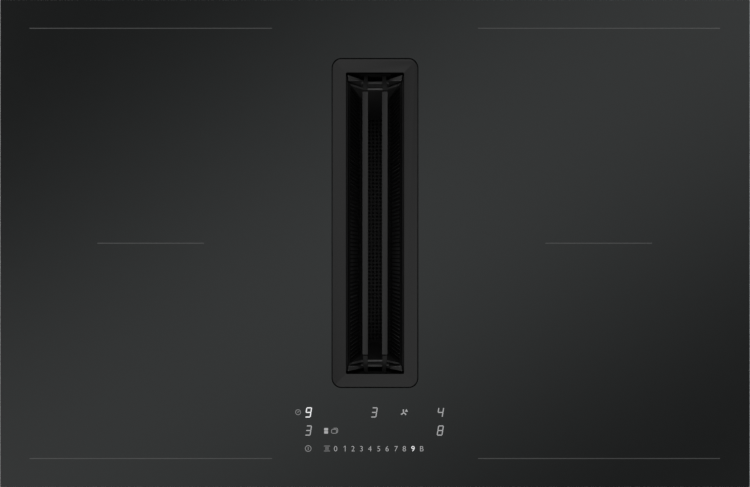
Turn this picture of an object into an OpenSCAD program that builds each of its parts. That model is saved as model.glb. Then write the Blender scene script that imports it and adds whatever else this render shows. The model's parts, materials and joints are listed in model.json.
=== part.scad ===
// Downdraft induction cooktop, 80 cm wide: a glass top with four coils and, in its middle, an inlet
// with a lift-out grille, grease filter and drip tray over a radial fan in the housing underneath.
// +Z is up, +Y points to the rear edge, and the origin lies under the middle of the glass.

/* [Glass top] */
// Width of the glass
glass_w = 800; // [760:5:900]
// Depth of the glass from front to rear
glass_d = 520; // [500:5:540]
// Thickness of the glass
glass_t = 4; // [3:0.5:6]
// Height from the base to the top of the glass
total_h = 200; // [190:2:240]
// Corner radius of the glass
glass_corner_r = 2; // [1:0.5:8]
// Width of the bevel along the left and right edges
bevel_w = 1; // [0.5:0.5:3]
// Depth of that bevel
bevel_h = 0.6; // [0.3:0.1:2]

/* [Inlet and grille] */
// Land of glass between the bezel and the rear edge
rear_land = 63.3; // [50:0.1:80]
// Land of glass between the bezel and the front edge
front_land = 107; // [95:0.5:120]
// Width of the bezel
bezel_w = 90.5; // [86:0.5:100]
// Thickness of the bezel
bezel_t = 7.7; // [7:0.1:10]
// Corner radius of the bezel
bezel_r = 9.5; // [4:0.5:14]
// Clear gap between the bezel and the glass
bezel_gap = 1; // [0.4:0.1:1.5]
// How far the bezel's face falls towards the opening
bezel_fall = 3; // [1:0.5:4]
// Width of the bezel's face along its sides
face_side = 14; // [12:0.1:16]
// Width of the bezel's face at its ends
face_end = 13.1; // [12:0.1:16]
// Width of one bar
bar_w = 5.8; // [4:0.1:8]
// Length of a leg, from the end of a bar to the end of the opening
leg_l = 21.5; // [16:0.5:30]
// Distance between the two bars' centre lines
bar_pitch = 20.9; // [18:0.1:24]
// Thickness of a bar's top strip
bar_t = 2; // [1.5:0.1:3]
// How far each leg falls to the bezel
leg_fall = 12; // [9:0.5:13]
// Thickness of a leg
leg_t = 3.4; // [2.5:0.1:4]

/* [Grease filter] */
// Inner width of the filter's mouth
mouth_w = 56; // [52:0.5:58]
// Depth of the mouth below the glass
mouth_depth = 9.4; // [9:0.2:12]
// Inner width of the filter's throat
throat_w = 33.5; // [28:0.5:38]
// Depth of the throat below the glass
throat_depth = 56.3; // [50:0.5:62]
// Depth of the perforated screen below the glass
screen_depth = 120; // [110:1:130]
// Distance from an end wall's outer face to the end of the opening
filter_inset = 3.4; // [3:0.2:6]
// Thickness of an end wall
end_wall_t = 2.6; // [2:0.2:4]
// Depth of the flat between the two slopes of an end wall's top edge
vee_depth = 19; // [16:0.5:22]
// Pitch of the ribs
rib_pitch = 4.5; // [4:0.1:7]
// Thickness of a rib
rib_t = 1.3; // [0.8:0.1:2]
// Pitch of the holes in the screen
hole_pitch = 4.95; // [4:0.05:7]
// Thickness of the ribbed sides
louvre_t = 3; // [2:0.1:3.4]
// Thickness of the wire mesh pads
mesh_t = 6; // [4:0.5:7]
// Height of the drip tray
drip_tray_h = 36; // [30:1:44]

/* [Hob tray] */
// How far the tray's walls stay inside the glass
tray_inset = 18; // [15:1:22]
// Height of the tray
tray_h = 52; // [50:1:60]
// Thickness of the sheet steel
sheet_t = 1.5; // [1:0.1:2]
// Width of the land from the bezel's gap to the tray's inner upstand
collar_land = 14; // [12:1:18]

/* [Cooking zones] */
// Distance from the middle of the glass to a zone's inner edge
zone_inner = 110; // [108:1:120]
// Distance from a zone's outer edge to the side of the glass
zone_side = 32; // [28:1:50]
// Distance from a zone's end to the front or rear edge of the glass
zone_end = 30.5; // [28:0.5:40]
// Outer radius of a coil, as a share of the narrower side of its place
coil_share = 0.453; // [0.4:0.001:0.47]
// Inner radius of a coil
coil_bore_r = 22; // [18:1:30]
// Turns of litz wire in a coil
coil_turns = 12; // [8:1:16]

/* [Lower housing] */
// Width of the lower housing, as a share of the glass
case_share = 0.7; // [0.68:0.01:0.71]
// Distance from the front edge of the glass to the lower housing
front_setback = 60; // [50:1:70]
// Distance from the rear edge of the glass to the lower housing
rear_setback = 28; // [26:1:32]
// Wall thickness of the lower housing
case_wall = 2.5; // [2:0.1:3]
// Height of the base pan, as a share of the whole
pan_share = 0.51; // [0.5:0.01:0.54]

/* [Fan and outlet] */
// How far the fan's axis sits in front of the middle
fan_front = 45; // [40:1:55]
// Outer radius of the impeller, as a share of the fan's bay
impeller_share = 0.345; // [0.3:0.005:0.35]
// Blades on the impeller
blade_count = 36; // [24:1:44]
// How far the middle of the outlet lies inside the fan's axis
outlet_shift = 7.5; // [5:0.5:9]
// Width of the rectangular outlet, as a share of the fan's bay
outlet_share = 0.96; // [0.9:0.01:0.96]

/* [Hidden] */
$fn = 64;

// Shared clearances
overrun = 1;
seat_gap = 0.3;
run_gap = 0.05;
corner_steps = 8;

// Levels, from the base upwards
glass_under = total_h - glass_t;
tray_z = glass_under - tray_h;
tray_floor = tray_z + sheet_t;
bezel_z = total_h - bezel_t;
ledge_z = bezel_z - seat_gap;
flange_t = 3;
upstand_top = ledge_z - flange_t;

// Inlet: the bezel fills the glass between its front and rear lands
bezel_l = glass_d - front_land - rear_land;
inlet_y = (front_land - rear_land) / 2;
opening_w = bezel_w - 2 * face_side;
opening_l = bezel_l - 2 * face_end;
bar_l = opening_l - 2 * leg_l;

// Inlet well: the bezel rests on a ledge as wide as bezel_ledge
bezel_ledge = 2;
well_w = bezel_w - 2 * bezel_ledge;
well_l = bezel_l - 2 * bezel_ledge;
well_wall = 2;
well_r = bezel_r - bezel_ledge;
well_floor = case_wall + well_wall;
upstand_w = bezel_w + 2 * (bezel_gap + collar_land);
upstand_l = bezel_l + 2 * (bezel_gap + collar_land);
upstand_r = bezel_r + bezel_gap + collar_land;

// Lower housing: two bays beside the well, and the levels of the scroll in the right one
case_w = case_share * glass_w;
case_front = glass_d / 2 - front_setback;
case_rear = glass_d / 2 - rear_setback;
case_d = case_front + case_rear;
case_y = (case_rear - case_front) / 2;
pan_h = pan_share * total_h;
plenum_gap = 0.5;
bay_x0 = well_w / 2 + well_wall + plenum_gap;
bay_x1 = case_w / 2 - case_wall - plenum_gap;
bay_w = bay_x1 - bay_x0;
bay_x = (bay_x0 + bay_x1) / 2;
plate_top_t = 2;
scroll_clear = 2;
scroll_h = pan_h - case_wall - plate_top_t - scroll_clear;
scroll_z = case_wall;
scroll_top = scroll_z + scroll_h;

// Opening in the well's right wall, which leads to the fan's plenum
window_share = 0.744;
window_edge = 3.75;
window_l = window_share * bezel_l;
window_h = tray_z - case_wall - scroll_top - plate_top_t - 2 * window_edge;

// Bezel
bezel_rim = 0.6;
opening_r = 1.5;
bezel_wall = 2;
bezel_hollow = 3;

// Bars and their carrier
bar_ridge = 0.4;
bar_end_gap = 1.2;
bar_end_depth = 4.2;
rail_side = 0.3;
rail_h = 4;
leg_top_drop = 0.6;
leg_taper = 0.9;
foot_t = 3;
foot_side = 4;

// Filter: levels and widths of the sloping sides
mouth_z = total_h - mouth_depth;
throat_z = total_h - throat_depth;
screen_z = total_h - screen_depth;
screen_t = 1;
slope_angle = atan((mouth_w - throat_w) / 2 / (mouth_z - throat_z));
filter_side_gap = 2;
filter_w = well_w - 2 * filter_side_gap;
filter_l = opening_l - 2 * filter_inset;
rail_t = 2;
lip_depth = 4.2;
lip_t = 0.8;
lip_side = 0.6;
liner_t = 1.5;
liner_lip = 2.2;
liner_end = filter_l / 2 - end_wall_t - seat_gap;
louvre_frame = 2;
louvre_len = (mouth_z - rail_t - seat_gap - throat_z) / cos(slope_angle);
liner_top = throat_z - louvre_t * sin(slope_angle) - seat_gap;
mesh_inset = 1;
skin_t = 1.2;
vee_flat_w = bar_pitch - bar_w;
horn_side = 2.3;
horn_w = 0.6;
horn_drop = 2;
core_side = 2.2;
core_w = bar_pitch + bar_w + 2 * core_side;
core_drop = 3;
gusset_l = 4.5;
gusset_start = 6;
gusset_t = 2;
rim_t = 2.4;
rim_depth = 30;
rim_flat_w = 24;
rim_side_w = 58;
rim_rise = 15;
louvre_end = liner_end - rim_t - seat_gap;
hole_share = 0.67;
hole_sides = 6;

// Drip tray
drip_wall = 1.8;
drip_l = well_l - 2 * filter_side_gap;
drip_z = well_floor + seat_gap;
drip_top = drip_z + drip_tray_h;
frame_z = drip_top + seat_gap;
drip_r = well_r - filter_side_gap;

// Hob tray
tray_w = glass_w - 2 * tray_inset;
tray_d = glass_d - 2 * tray_inset;
tray_r = 10;
tray_flange = 6;
strip_w = 8;
strip_t = 3;
strip_inset = 2;
seal_w = 8;
seal_inset = 1;

// Coil stack, from the plate upwards
plate_t = 2;
ferrite_t = 5;
carrier_t = 2;
coil_t = 5;
mat_t = 5;
stack_gap = 1;
plate_z = glass_under - plate_t - ferrite_t - carrier_t - coil_t - mat_t - stack_gap;
zone_w = glass_w / 2 - zone_inner - zone_side;
zone_d = glass_d - 2 * zone_end;
coil_r = coil_share * min(zone_w, zone_d / 2);
ferrite_w = 14;
ferrite_count = 8;
ferrite_end = 6;
ferrite_z = plate_z + plate_t;
carrier_z = ferrite_z + ferrite_t;
coil_z = carrier_z + carrier_t;
mat_z = coil_z + coil_t;
coil_x = zone_inner + zone_w / 2;
coil_y = zone_d / 4;
post_r = 4;
post_inset = 6;
carrier_rim = 2;
spoke_count = 8;
spoke_w = 12;
hub_rim = 8;
coil_step = (coil_r - coil_bore_r) / coil_turns;
coil_groove = 0.8;
sensor_r = 6;

// Cooling fans of the electronics, over slots in the tray's floor beside the lower housing
overhang = (tray_w - case_w) / 2;
cooler_side = 11;
cooler_w = overhang - 2 * cooler_side;
cooler_h = 25;
cooler_x = (case_w + tray_w) / 4;
cooler_back = 52;
cooler_y = tray_d / 2 - cooler_back - cooler_w / 2;
cooler_rim = 3;
cooler_bore_r = cooler_w / 2 - cooler_rim;
cooler_hub_r = 15;
cooler_hub_t = 3;
cooler_gap = 1;
cooler_blades = 7;
cooler_blade_t = 1.6;
cooler_pitch = 38;
cooler_pin_r = 1.5;
cooler_arm = 5;
vent_slot_w = 4;
vent_slots = 2 * floor(cooler_bore_r / (2 * vent_slot_w)) + 1;

// Power electronics, between the tray's inner upstand and the cooling fans
board_t = 1.6;
board_gap = 4.5;
board_z = tray_floor + board_gap;
board_side = 10;
board_x = upstand_w / 2 + sheet_t + board_side;
board_w = cooler_x - cooler_w / 2 - 2 * board_side - board_x;
board_share = 0.68;
board_d = board_share * tray_d;
board_y = 15;
standoff_r = 3;
sink_w = 44;
sink_share = 0.6;
sink_d = sink_share * board_d;
sink_h = 20;
sink_base = 4;
sink_fins = 8;
sink_fin_t = 1.4;
sink_clear = 4;
choke_r = 16;
choke_h = 14;
cap_w = 26;
cap_d = 16;
cap_h = 18;

// Touch controls
touch_x = -3;
touch_w = 190;
touch_d = 62;
touch_gap = 2;
touch_y = inlet_y - upstand_l / 2 - sheet_t - touch_gap - touch_d / 2;
touch_plate_t = 2;
guide_t = 6;
guide_inset = 4;
touch_z = glass_under - guide_t - seat_gap - board_t - touch_plate_t;
window_w = 9;
window_d = 13;
window_x_shares = [-0.35, 0, 0.35];
touch_row_w = 132;
touch_row_d = 8;
touch_row_back = 12;
touch_row_front = 18;

// Terminal box and cable gland on the left, with the mains filter board over the box
box_side = 9;
box_w = overhang - 2 * box_side;
box_d = 100;
box_h = 32;
box_wall = 2;
box_front = 82;
box_x = -cooler_x;
box_y = box_front + box_d / 2 - tray_d / 2;
mains_side = 17;
mains_w = overhang - 2 * mains_side;
mains_d = 130;
mains_x = box_x;
mains_y = box_y + (box_d - mains_d) / 2;
lid_t = 2;
block_side = 10;
block_w = box_w - 2 * (box_wall + block_side);
block_d = 22;
block_h = 14;
block_poles = 5;
gland_r = 10;
gland_bore_r = 6.5;
gland_l = 20;
gland_nut_r = 14;
gland_nut_t = 6;
gland_z = tray_z - box_h / 2;

// Fan control board in the left bay
fan_board_share = 0.56;
fan_board_w = fan_board_share * bay_w;
fan_board_d = 150;
fan_board_gap = 8;

// Scroll, round the fan's axis
fan_x = bay_x;
fan_y = -fan_front;
impeller_r = impeller_share * bay_w;
outlet_x = fan_x - outlet_shift;
outlet_w = outlet_share * bay_w;
scroll_wall = 2.5;
scroll_floor_t = 2.5;
scroll_tip = 60;
scroll_gap = 12;
scroll_start_r = impeller_r + scroll_gap;
scroll_end_r = outlet_x + outlet_w / 2 - fan_x;
scroll_steps = 30;
channel_gap = 3;
channel_end = case_rear - case_wall - channel_gap;

// Impeller
hub_rise = 9;
hub_z = scroll_z + scroll_floor_t + hub_rise;
disc_t = 2;
ring_h = 2;
blade_drop = 10;
blade_h = scroll_top - hub_z - disc_t - ring_h - blade_drop;
blade_depth = 18;
blade_in_r = impeller_r - blade_depth;
blade_edge = 0.6;
blade_t = 1.2;
blade_steps = 4;
blade_sweep = 16;
blade_curl = 8;
lip_gap = 2;
inlet_lip_r = blade_in_r - lip_gap;
inlet_t = 1.5;
inlet_flange = 12;
inlet_curve_r = 7;

// Motor under the impeller's hub
motor_flange_r = 46;
motor_flange_t = 3;
tube_r = 13;
bearing_r = 11;
bearing_h = 7;
shaft_r = 4;
tube_h = 28;
stator_r = 32;
stator_h = 20;
stator_slots = 9;
stator_slot_w = 5;
stator_yoke = 6;
rotor_gap = 1;
rotor_wall = 2.5;
rotor_r = stator_r + rotor_gap + rotor_wall;
motor_z = scroll_z + scroll_floor_t;
rotor_lift = 2;
rotor_head = 3;
rotor_z = motor_z + motor_flange_t + rotor_lift;
rotor_top = motor_z + motor_flange_t + tube_h + rotor_head;
hub_gap = 0.3;
hub_wall = 2;

// Outlet spigot and its non-return flaps
spigot_wall = 2.5;
spigot_out = 16;
spigot_in = channel_gap - seat_gap;
spigot_rise = 2;
spigot_z = scroll_z + scroll_floor_t + spigot_rise;
outlet_h = scroll_h - scroll_floor_t - 2 * spigot_rise;
spigot_flange = 9;
spigot_flange_low = 4;
spigot_flange_t = 2.5;
spigot_screw_shares = [0.25, 0.75];
flap_t = 1.6;
flap_gap = 1.2;
pin_r = 2;
knuckle_r = 3.6;
knuckle_count = 4;
flap_y = case_rear + spigot_out - knuckle_r - flap_t;

// Screws and springs
screw_r = 1.9;
screw_head_r = 3.8;
screw_head_t = 2;
screw_gap = 0.2;
ear_w = 14;
ear_out = 10;
ear_t = 4;
ear_x = case_w / 2 + ear_out / 2;
ear_y_shares = [-0.4, 0.05, 0.4];
deck_screw_x_shares = [-0.44, -0.2, 0.2, 0.44];
deck_screw_y_shares = [-0.42, 0.42];
boss_r = 5;
boss_h = 10;
case_r = 6;
spring_w = 24;
spring_t = 0.8;
spring_l = 34;
spring_bow = 5;
spring_y_share = 0.3;

// Outline of a rectangle with rounded corners
function round_rect(w, d, r, steps = corner_steps) = [
    for (corner = [0:3], i = [0:steps])
        let (a = 90 * (corner + i / steps),
             sx = (corner == 0 || corner == 3) ? 1 : -1,
             sy = corner < 2 ? 1 : -1)
        [sx * (w / 2 - r) + r * cos(a), sy * (d / 2 - r) + r * sin(a)]
];

// Radius of the scroll's wall at angle a
function scroll_r(a) = scroll_start_r
    + (scroll_end_r - scroll_start_r) * (a - scroll_tip) / (360 - scroll_tip);

// Points along the scroll's wall, pushed out by grow
function scroll_arc(grow) = [
    for (i = [0:scroll_steps])
        let (a = scroll_tip + (360 - scroll_tip) * i / scroll_steps)
        [fan_x + (scroll_r(a) + grow) * cos(a), fan_y + (scroll_r(a) + grow) * sin(a)]
];

function reversed(points) = [for (i = [len(points) - 1:-1:0]) points[i]];

// Mirror image of an outline across the Y axis, in the opposite order
function mirrored(points) = [for (p = reversed(points)) [-p[0], p[1]]];

module slab(w, d, h, r) {
    linear_extrude(h) polygon(round_rect(w, d, r));
}

module frame(w, d, h, r, border) {
    linear_extrude(h) difference() {
        polygon(round_rect(w, d, r));
        polygon(round_rect(w - 2 * border, d - 2 * border, max(r - border, glass_corner_r / 2)));
    }
}

module tub(w, d, h, r, wall, floor_t) {
    difference() {
        slab(w, d, h, r);
        translate([0, 0, floor_t])
            slab(w - 2 * wall, d - 2 * wall, h, max(r - wall, glass_corner_r / 2));
    }
}

module block(w, d, h) {
    translate([-w / 2, -d / 2, 0]) cube([w, d, h]);
}

module at_inlet(z) {
    translate([0, inlet_y, z]) children();
}

module both_sides() {
    children();
    mirror([1, 0, 0]) children();
}

// Prism whose outline lies in the XZ plane, centred on its length along Y
module along_y(length) {
    rotate([90, 0, 0]) linear_extrude(length, center = true) children();
}

// Prism whose outline lies in the YZ plane, from x = 0 to the given width
module along_x(width) {
    rotate([90, 0, 90]) linear_extrude(width) children();
}

// Glass plate with bevelled side edges and the hole for the grille
module glass_top() {
    color([0.1, 0.1, 0.11]) difference() {
        intersection() {
            translate([0, 0, glass_under]) slab(glass_w, glass_d, glass_t, glass_corner_r);
            along_y(glass_d + 2 * overrun) polygon([
                [-glass_w / 2, glass_under], [glass_w / 2, glass_under],
                [glass_w / 2, total_h - bevel_h], [glass_w / 2 - bevel_w, total_h],
                [bevel_w - glass_w / 2, total_h], [-glass_w / 2, total_h - bevel_h]
            ]);
        }
        at_inlet(glass_under - overrun)
            slab(bezel_w + 2 * bezel_gap, bezel_l + 2 * bezel_gap, glass_t + 2 * overrun,
                bezel_r + bezel_gap);
    }
}

// Foam strip under the rim of the glass, which rests on the worktop
module sealing_strip() {
    color([0.25, 0.25, 0.26]) translate([0, 0, glass_under - strip_t])
        frame(glass_w - 2 * strip_inset, glass_d - 2 * strip_inset, strip_t, tray_r, strip_w);
}

// Places of the screws that join the tray to the lower housing
module at_deck_screws() {
    for (sx = deck_screw_x_shares, sy = deck_screw_y_shares)
        translate([sx * case_w, case_y + sy * case_d, 0]) children();
}

// Slots in the tray's floor under one cooling fan
module vent_slots_cut() {
    for (i = [0:vent_slots - 1])
        translate([0, (i - (vent_slots - 1) / 2) * 2 * vent_slot_w, 0])
            let (w = 2 * sqrt(pow(cooler_bore_r, 2)
                - pow((abs(i - (vent_slots - 1) / 2)) * 2 * vent_slot_w, 2)))
                block(w, vent_slot_w, sheet_t + 2 * overrun);
}

// Steel tray that is bonded to the glass and carries the coils and boards
module hob_tray() {
    color([0.62, 0.63, 0.64]) {
        difference() {
            translate([0, 0, tray_z]) slab(tray_w, tray_d, sheet_t, tray_r);
            at_inlet(tray_z - overrun)
                slab(upstand_w, upstand_l, sheet_t + 2 * overrun, upstand_r);
            for (side = [-1, 1])
                translate([side * cooler_x, cooler_y, tray_z - overrun]) vent_slots_cut();
            at_deck_screws() translate([0, 0, tray_z - overrun])
                cylinder(r = screw_r + screw_gap, h = sheet_t + 2 * overrun);
        }
        translate([0, 0, tray_z]) frame(tray_w, tray_d, tray_h, tray_r, sheet_t);
        translate([0, 0, glass_under - sheet_t])
            frame(tray_w + 2 * tray_flange, tray_d + 2 * tray_flange, sheet_t,
                tray_r + tray_flange, tray_flange + sheet_t);
        at_inlet(tray_z)
            frame(upstand_w + 2 * sheet_t, upstand_l + 2 * sheet_t, upstand_top - tray_z,
                upstand_r + sheet_t, sheet_t);
    }
}

// Moulded collar under the glass, with the ledge that the grille rests on
module inlet_collar() {
    color([0.12, 0.12, 0.13]) {
        at_inlet(tray_z)
            frame(well_w + 2 * well_wall, well_l + 2 * well_wall, upstand_top - tray_z,
                well_r + well_wall, well_wall);
        at_inlet(upstand_top) linear_extrude(flange_t) difference() {
            polygon(round_rect(upstand_w + 2 * sheet_t, upstand_l + 2 * sheet_t,
                upstand_r + sheet_t));
            polygon(round_rect(well_w, well_l, well_r));
        }
    }
}

// Rubber ring between the collar and the glass
module collar_seal() {
    color([0.08, 0.08, 0.08]) at_inlet(ledge_z) let (inner = bezel_gap + seal_inset)
        frame(bezel_w + 2 * (inner + seal_w), bezel_l + 2 * (inner + seal_w),
            glass_under - ledge_z, bezel_r + inner + seal_w, seal_w);
}

// Well under the inlet, which catches spills and opens to the fan's plenum on the right
module inlet_well() {
    color([0.16, 0.16, 0.17]) difference() {
        at_inlet(case_wall)
            tub(well_w + 2 * well_wall, well_l + 2 * well_wall, tray_z - case_wall,
                well_r + well_wall, well_wall, well_wall);
        translate([well_w / 2 - overrun, inlet_y - window_l / 2,
            (tray_z + scroll_top + plate_top_t) / 2 - window_h / 2])
            cube([well_wall + 2 * overrun, window_l, window_h]);
    }
}

// Tray that stands in the well and catches what drips through the filter
module drip_tray() {
    color([0.2, 0.2, 0.21]) at_inlet(drip_z)
        tub(filter_w, drip_l, drip_tray_h, drip_r, drip_wall, drip_wall);
}

// Outline of half the skin of an end wall, from the middle outwards
function end_skin_half() = [
    [vee_flat_w / 2, total_h - vee_depth],
    [opening_w / 2 - horn_side - horn_w, total_h - horn_drop],
    [opening_w / 2 - horn_side, total_h - horn_drop],
    [opening_w / 2 - horn_side, mouth_z],
    [filter_w / 2, mouth_z],
    [filter_w / 2, frame_z]
];

// Outline of half the core behind the skin: its middle reaches up to the skin's flat, and its
// sides end below the liner's rim
function end_core_half() = [
    [core_w / 2, total_h - vee_depth],
    [core_w / 2, total_h - rim_depth - core_drop],
    [filter_w / 2, total_h - rim_depth - core_drop],
    [filter_w / 2, frame_z]
];

// Outline of the steep lip on a side rail, which closes the mouth up to the bezel
function lip_outline() = let (top = opening_w / 2 - lip_side) [
    [mouth_w / 2, mouth_z - rail_t], [mouth_w / 2, mouth_z], [top - lip_t, total_h - lip_depth],
    [top, total_h - lip_depth], [mouth_w / 2 + 2 * lip_t, mouth_z],
    [mouth_w / 2 + 2 * lip_t, mouth_z - rail_t]
];

// Three-cornered web that stiffens an end wall along the slope of its top edge
module gusset() {
    low = end_skin_half()[0];
    high = end_skin_half()[1];
    wall_y = filter_l / 2 - skin_t;
    intersection() {
        along_y(filter_l) polygon([low, high, [high[0], high[1] - gusset_t],
            [low[0], low[1] - gusset_t]]);
        linear_extrude(total_h) polygon([[low[0] + gusset_start, wall_y],
            [high[0], wall_y - gusset_l], [high[0], wall_y + skin_t / 2],
            [low[0] + gusset_start, wall_y + skin_t / 2]]);
    }
}

// End wall: a thin skin with sloping top edges over a core, with a web in each corner
module end_wall() {
    skin = end_skin_half();
    core = end_core_half();
    translate([0, (filter_l - skin_t) / 2, 0])
        along_y(skin_t) polygon(concat(skin, mirrored(skin)));
    translate([0, (filter_l - end_wall_t) / 2, 0])
        along_y(end_wall_t) polygon(concat(core, mirrored(core)));
    both_sides() gusset();
}

// Filter frame: two end walls with a cut-down middle, joined by side rails and a bottom ledge
module filter_frame() {
    color([0.14, 0.14, 0.15]) {
        at_inlet(0) {
            end_wall();
            mirror([0, 1, 0]) end_wall();
        }
        both_sides() {
            translate([mouth_w / 2, inlet_y - filter_l / 2, mouth_z - rail_t])
                cube([(filter_w - mouth_w) / 2, filter_l, rail_t]);
            translate([0, inlet_y, 0]) along_y(filter_l) polygon(lip_outline());
        }
        at_inlet(screen_z - screen_t - rail_t) linear_extrude(rail_t) difference() {
            square([throat_w + 2 * (liner_t + liner_lip), filter_l - end_wall_t], center = true);
            square([throat_w - 2 * liner_lip, 2 * (liner_end - liner_t - liner_lip)], center = true);
        }
    }
}

// Outline of half an end plate of the liner, from the middle outwards
function liner_end_half() = [
    [rim_flat_w / 2, total_h - rim_depth],
    [rim_side_w / 2, total_h - rim_depth + rim_rise],
    [throat_w / 2 + liner_t, throat_z],
    [throat_w / 2 + liner_t, screen_z]
];

// Liner inside the frame: upright walls under the ribbed sides, and end plates with a low rim
module filter_liner() {
    half = liner_end_half();
    color([0.18, 0.18, 0.19]) {
        for (side = [-1, 1])
            translate([0, inlet_y + side * (liner_end - rim_t / 2), 0])
                along_y(rim_t) polygon(concat(half, mirrored(half)));
        both_sides() translate([throat_w / 2, inlet_y - liner_end, screen_z])
            cube([liner_t, 2 * liner_end, liner_top - screen_z]);
    }
}

// Places a flat piece on the right-hand slope, with its inner face on the slope's plane
module on_slope() {
    translate([throat_w / 2, inlet_y, throat_z]) rotate([0, slope_angle, 0]) children();
}

// Ribbed side of the filter: upright ribs between two edges
module louvre_right() {
    ribs = floor((2 * louvre_end - louvre_frame) / rib_pitch);
    slot_h = louvre_len - 2 * louvre_frame;
    color([0.22, 0.22, 0.23]) on_slope() along_x(louvre_t) difference() {
        translate([-louvre_end, 0]) square([2 * louvre_end, louvre_len]);
        for (i = [0:ribs - 1])
            translate([(i - (ribs - 1) / 2) * rib_pitch, louvre_frame + slot_h / 2])
                square([rib_pitch - rib_t, slot_h], center = true);
    }
}

module louvre_left() {
    mirror([1, 0, 0]) louvre_right();
}

// Pad of grease mesh behind the ribbed side
module mesh_right() {
    color([0.55, 0.55, 0.56]) on_slope()
        translate([louvre_t + seat_gap, -louvre_end, mesh_inset])
            cube([mesh_t, 2 * louvre_end, louvre_len - 4 * mesh_inset]);
}

module mesh_left() {
    mirror([1, 0, 0]) mesh_right();
}

// Perforated plate at the bottom of the filter
module filter_screen() {
    columns = floor((throat_w - rib_t) / hole_pitch);
    rows = floor(2 * (liner_end - rim_t) / hole_pitch) - 1;
    color([0.3, 0.3, 0.31]) at_inlet(screen_z - screen_t) linear_extrude(screen_t) difference() {
        square([throat_w + 2 * liner_t, 2 * liner_end], center = true);
        for (i = [0:columns - 1], j = [0:rows - 1])
            translate([(i - (columns - 1) / 2) * hole_pitch, (j - (rows - 1) / 2) * hole_pitch])
                circle(d = hole_pitch * hole_share, $fn = hole_sides);
    }
}

// Half outline of the cut that dishes the bezel's face
function dish_half(outer, inner) = [
    [inner / 2, total_h - bezel_fall],
    [outer / 2 - bezel_rim, total_h],
    [outer / 2 - bezel_rim, total_h + overrun]
];

// Bezel that frames the inlet flush with the glass, with a face that falls to the opening
module grille_bezel() {
    across = dish_half(bezel_w, opening_w);
    lengthwise = dish_half(bezel_l, opening_l);
    color([0.2, 0.2, 0.21]) at_inlet(0) difference() {
        translate([0, 0, bezel_z]) slab(bezel_w, bezel_l, bezel_t, bezel_r);
        translate([0, 0, bezel_z - overrun])
            slab(opening_w, opening_l, bezel_t + 2 * overrun, opening_r);
        intersection() {
            along_y(bezel_l) polygon(concat(across, mirrored(across)));
            translate([-bezel_w / 2, 0, 0])
                along_x(bezel_w) polygon(concat(lengthwise, mirrored(lengthwise)));
        }
        translate([0, 0, bezel_z - overrun]) linear_extrude(bezel_hollow + overrun) difference() {
            polygon(round_rect(bezel_w - 2 * (bezel_ledge + bezel_wall),
                bezel_l - 2 * (bezel_ledge + bezel_wall), bezel_r - bezel_ledge - bezel_wall));
            square([opening_w + 2 * bezel_wall, opening_l + 2 * bezel_wall], center = true);
        }
    }
}

// Side view of half a rail and its leg, from the middle of the bar into the foot
function rail_half() = [
    [bar_l / 2, total_h - bar_t],
    [bar_l / 2, total_h - bar_end_depth],
    [bar_l / 2 + bar_end_gap, total_h - bar_end_depth],
    [bar_l / 2 + bar_end_gap, total_h - leg_top_drop],
    [opening_l / 2, total_h - leg_fall],
    [(opening_l + foot_t) / 2, total_h - leg_fall],
    [(opening_l + foot_t) / 2, total_h - leg_fall - leg_t],
    [opening_l / 2, total_h - leg_fall - leg_t],
    [bar_l / 2, total_h - bar_t - rail_h]
];

// Plan of half a rail: its outer side draws in along the leg
function rail_plan() = let (w = bar_w - 2 * rail_side, end_y = (opening_l + foot_t) / 2) [
    [-w / 2, -end_y], [w / 2 - leg_taper, -end_y], [w / 2 - leg_taper, -opening_l / 2],
    [w / 2, -bar_l / 2], [w / 2, bar_l / 2], [w / 2 - leg_taper, opening_l / 2],
    [w / 2 - leg_taper, end_y], [-w / 2, end_y]
];

// Two rails whose legs slope down to feet under the ends of the bezel
module grille_carrier() {
    half = rail_half();
    color([0.1, 0.1, 0.11]) at_inlet(0) {
        both_sides() translate([bar_pitch / 2, 0, 0]) intersection() {
            translate([-bar_w / 2, 0, 0]) along_x(bar_w) polygon(concat(half, mirrored(half)));
            translate([0, 0, bezel_z - bar_pitch]) linear_extrude(2 * bar_pitch)
                polygon(rail_plan());
        }
        for (side = [-1, 1])
            translate([0, side * (opening_l + foot_t) / 2, total_h - leg_fall - leg_t])
                block(bar_pitch + bar_w + 2 * foot_side, foot_t,
                    bezel_z - total_h + leg_fall + leg_t);
    }
}

// Top strip of a bar, with a shallow ridge along its middle
module bar_right() {
    color([0.22, 0.22, 0.23]) translate([bar_pitch / 2, inlet_y, total_h - bar_t])
        along_y(bar_l) polygon([
            [-bar_w / 2, 0], [bar_w / 2, 0], [bar_w / 2, bar_t - bar_ridge],
            [0, bar_t], [-bar_w / 2, bar_t - bar_ridge]
        ]);
}

module bar_left() {
    mirror([1, 0, 0]) bar_right();
}

// Places of the ears that join the two shells of the lower housing
module at_ears() {
    for (side = [-1, 1], share = ear_y_shares)
        translate([side * ear_x, case_y + share * case_d, 0]) children();
}

// Ear with a screw hole, rooted in the housing's side wall
module ear() {
    difference() {
        block(ear_out + 2 * case_wall, ear_w, ear_t);
        translate([0, 0, -overrun])
            cylinder(r = screw_r + screw_gap, h = ear_t + 2 * overrun);
    }
}

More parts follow.
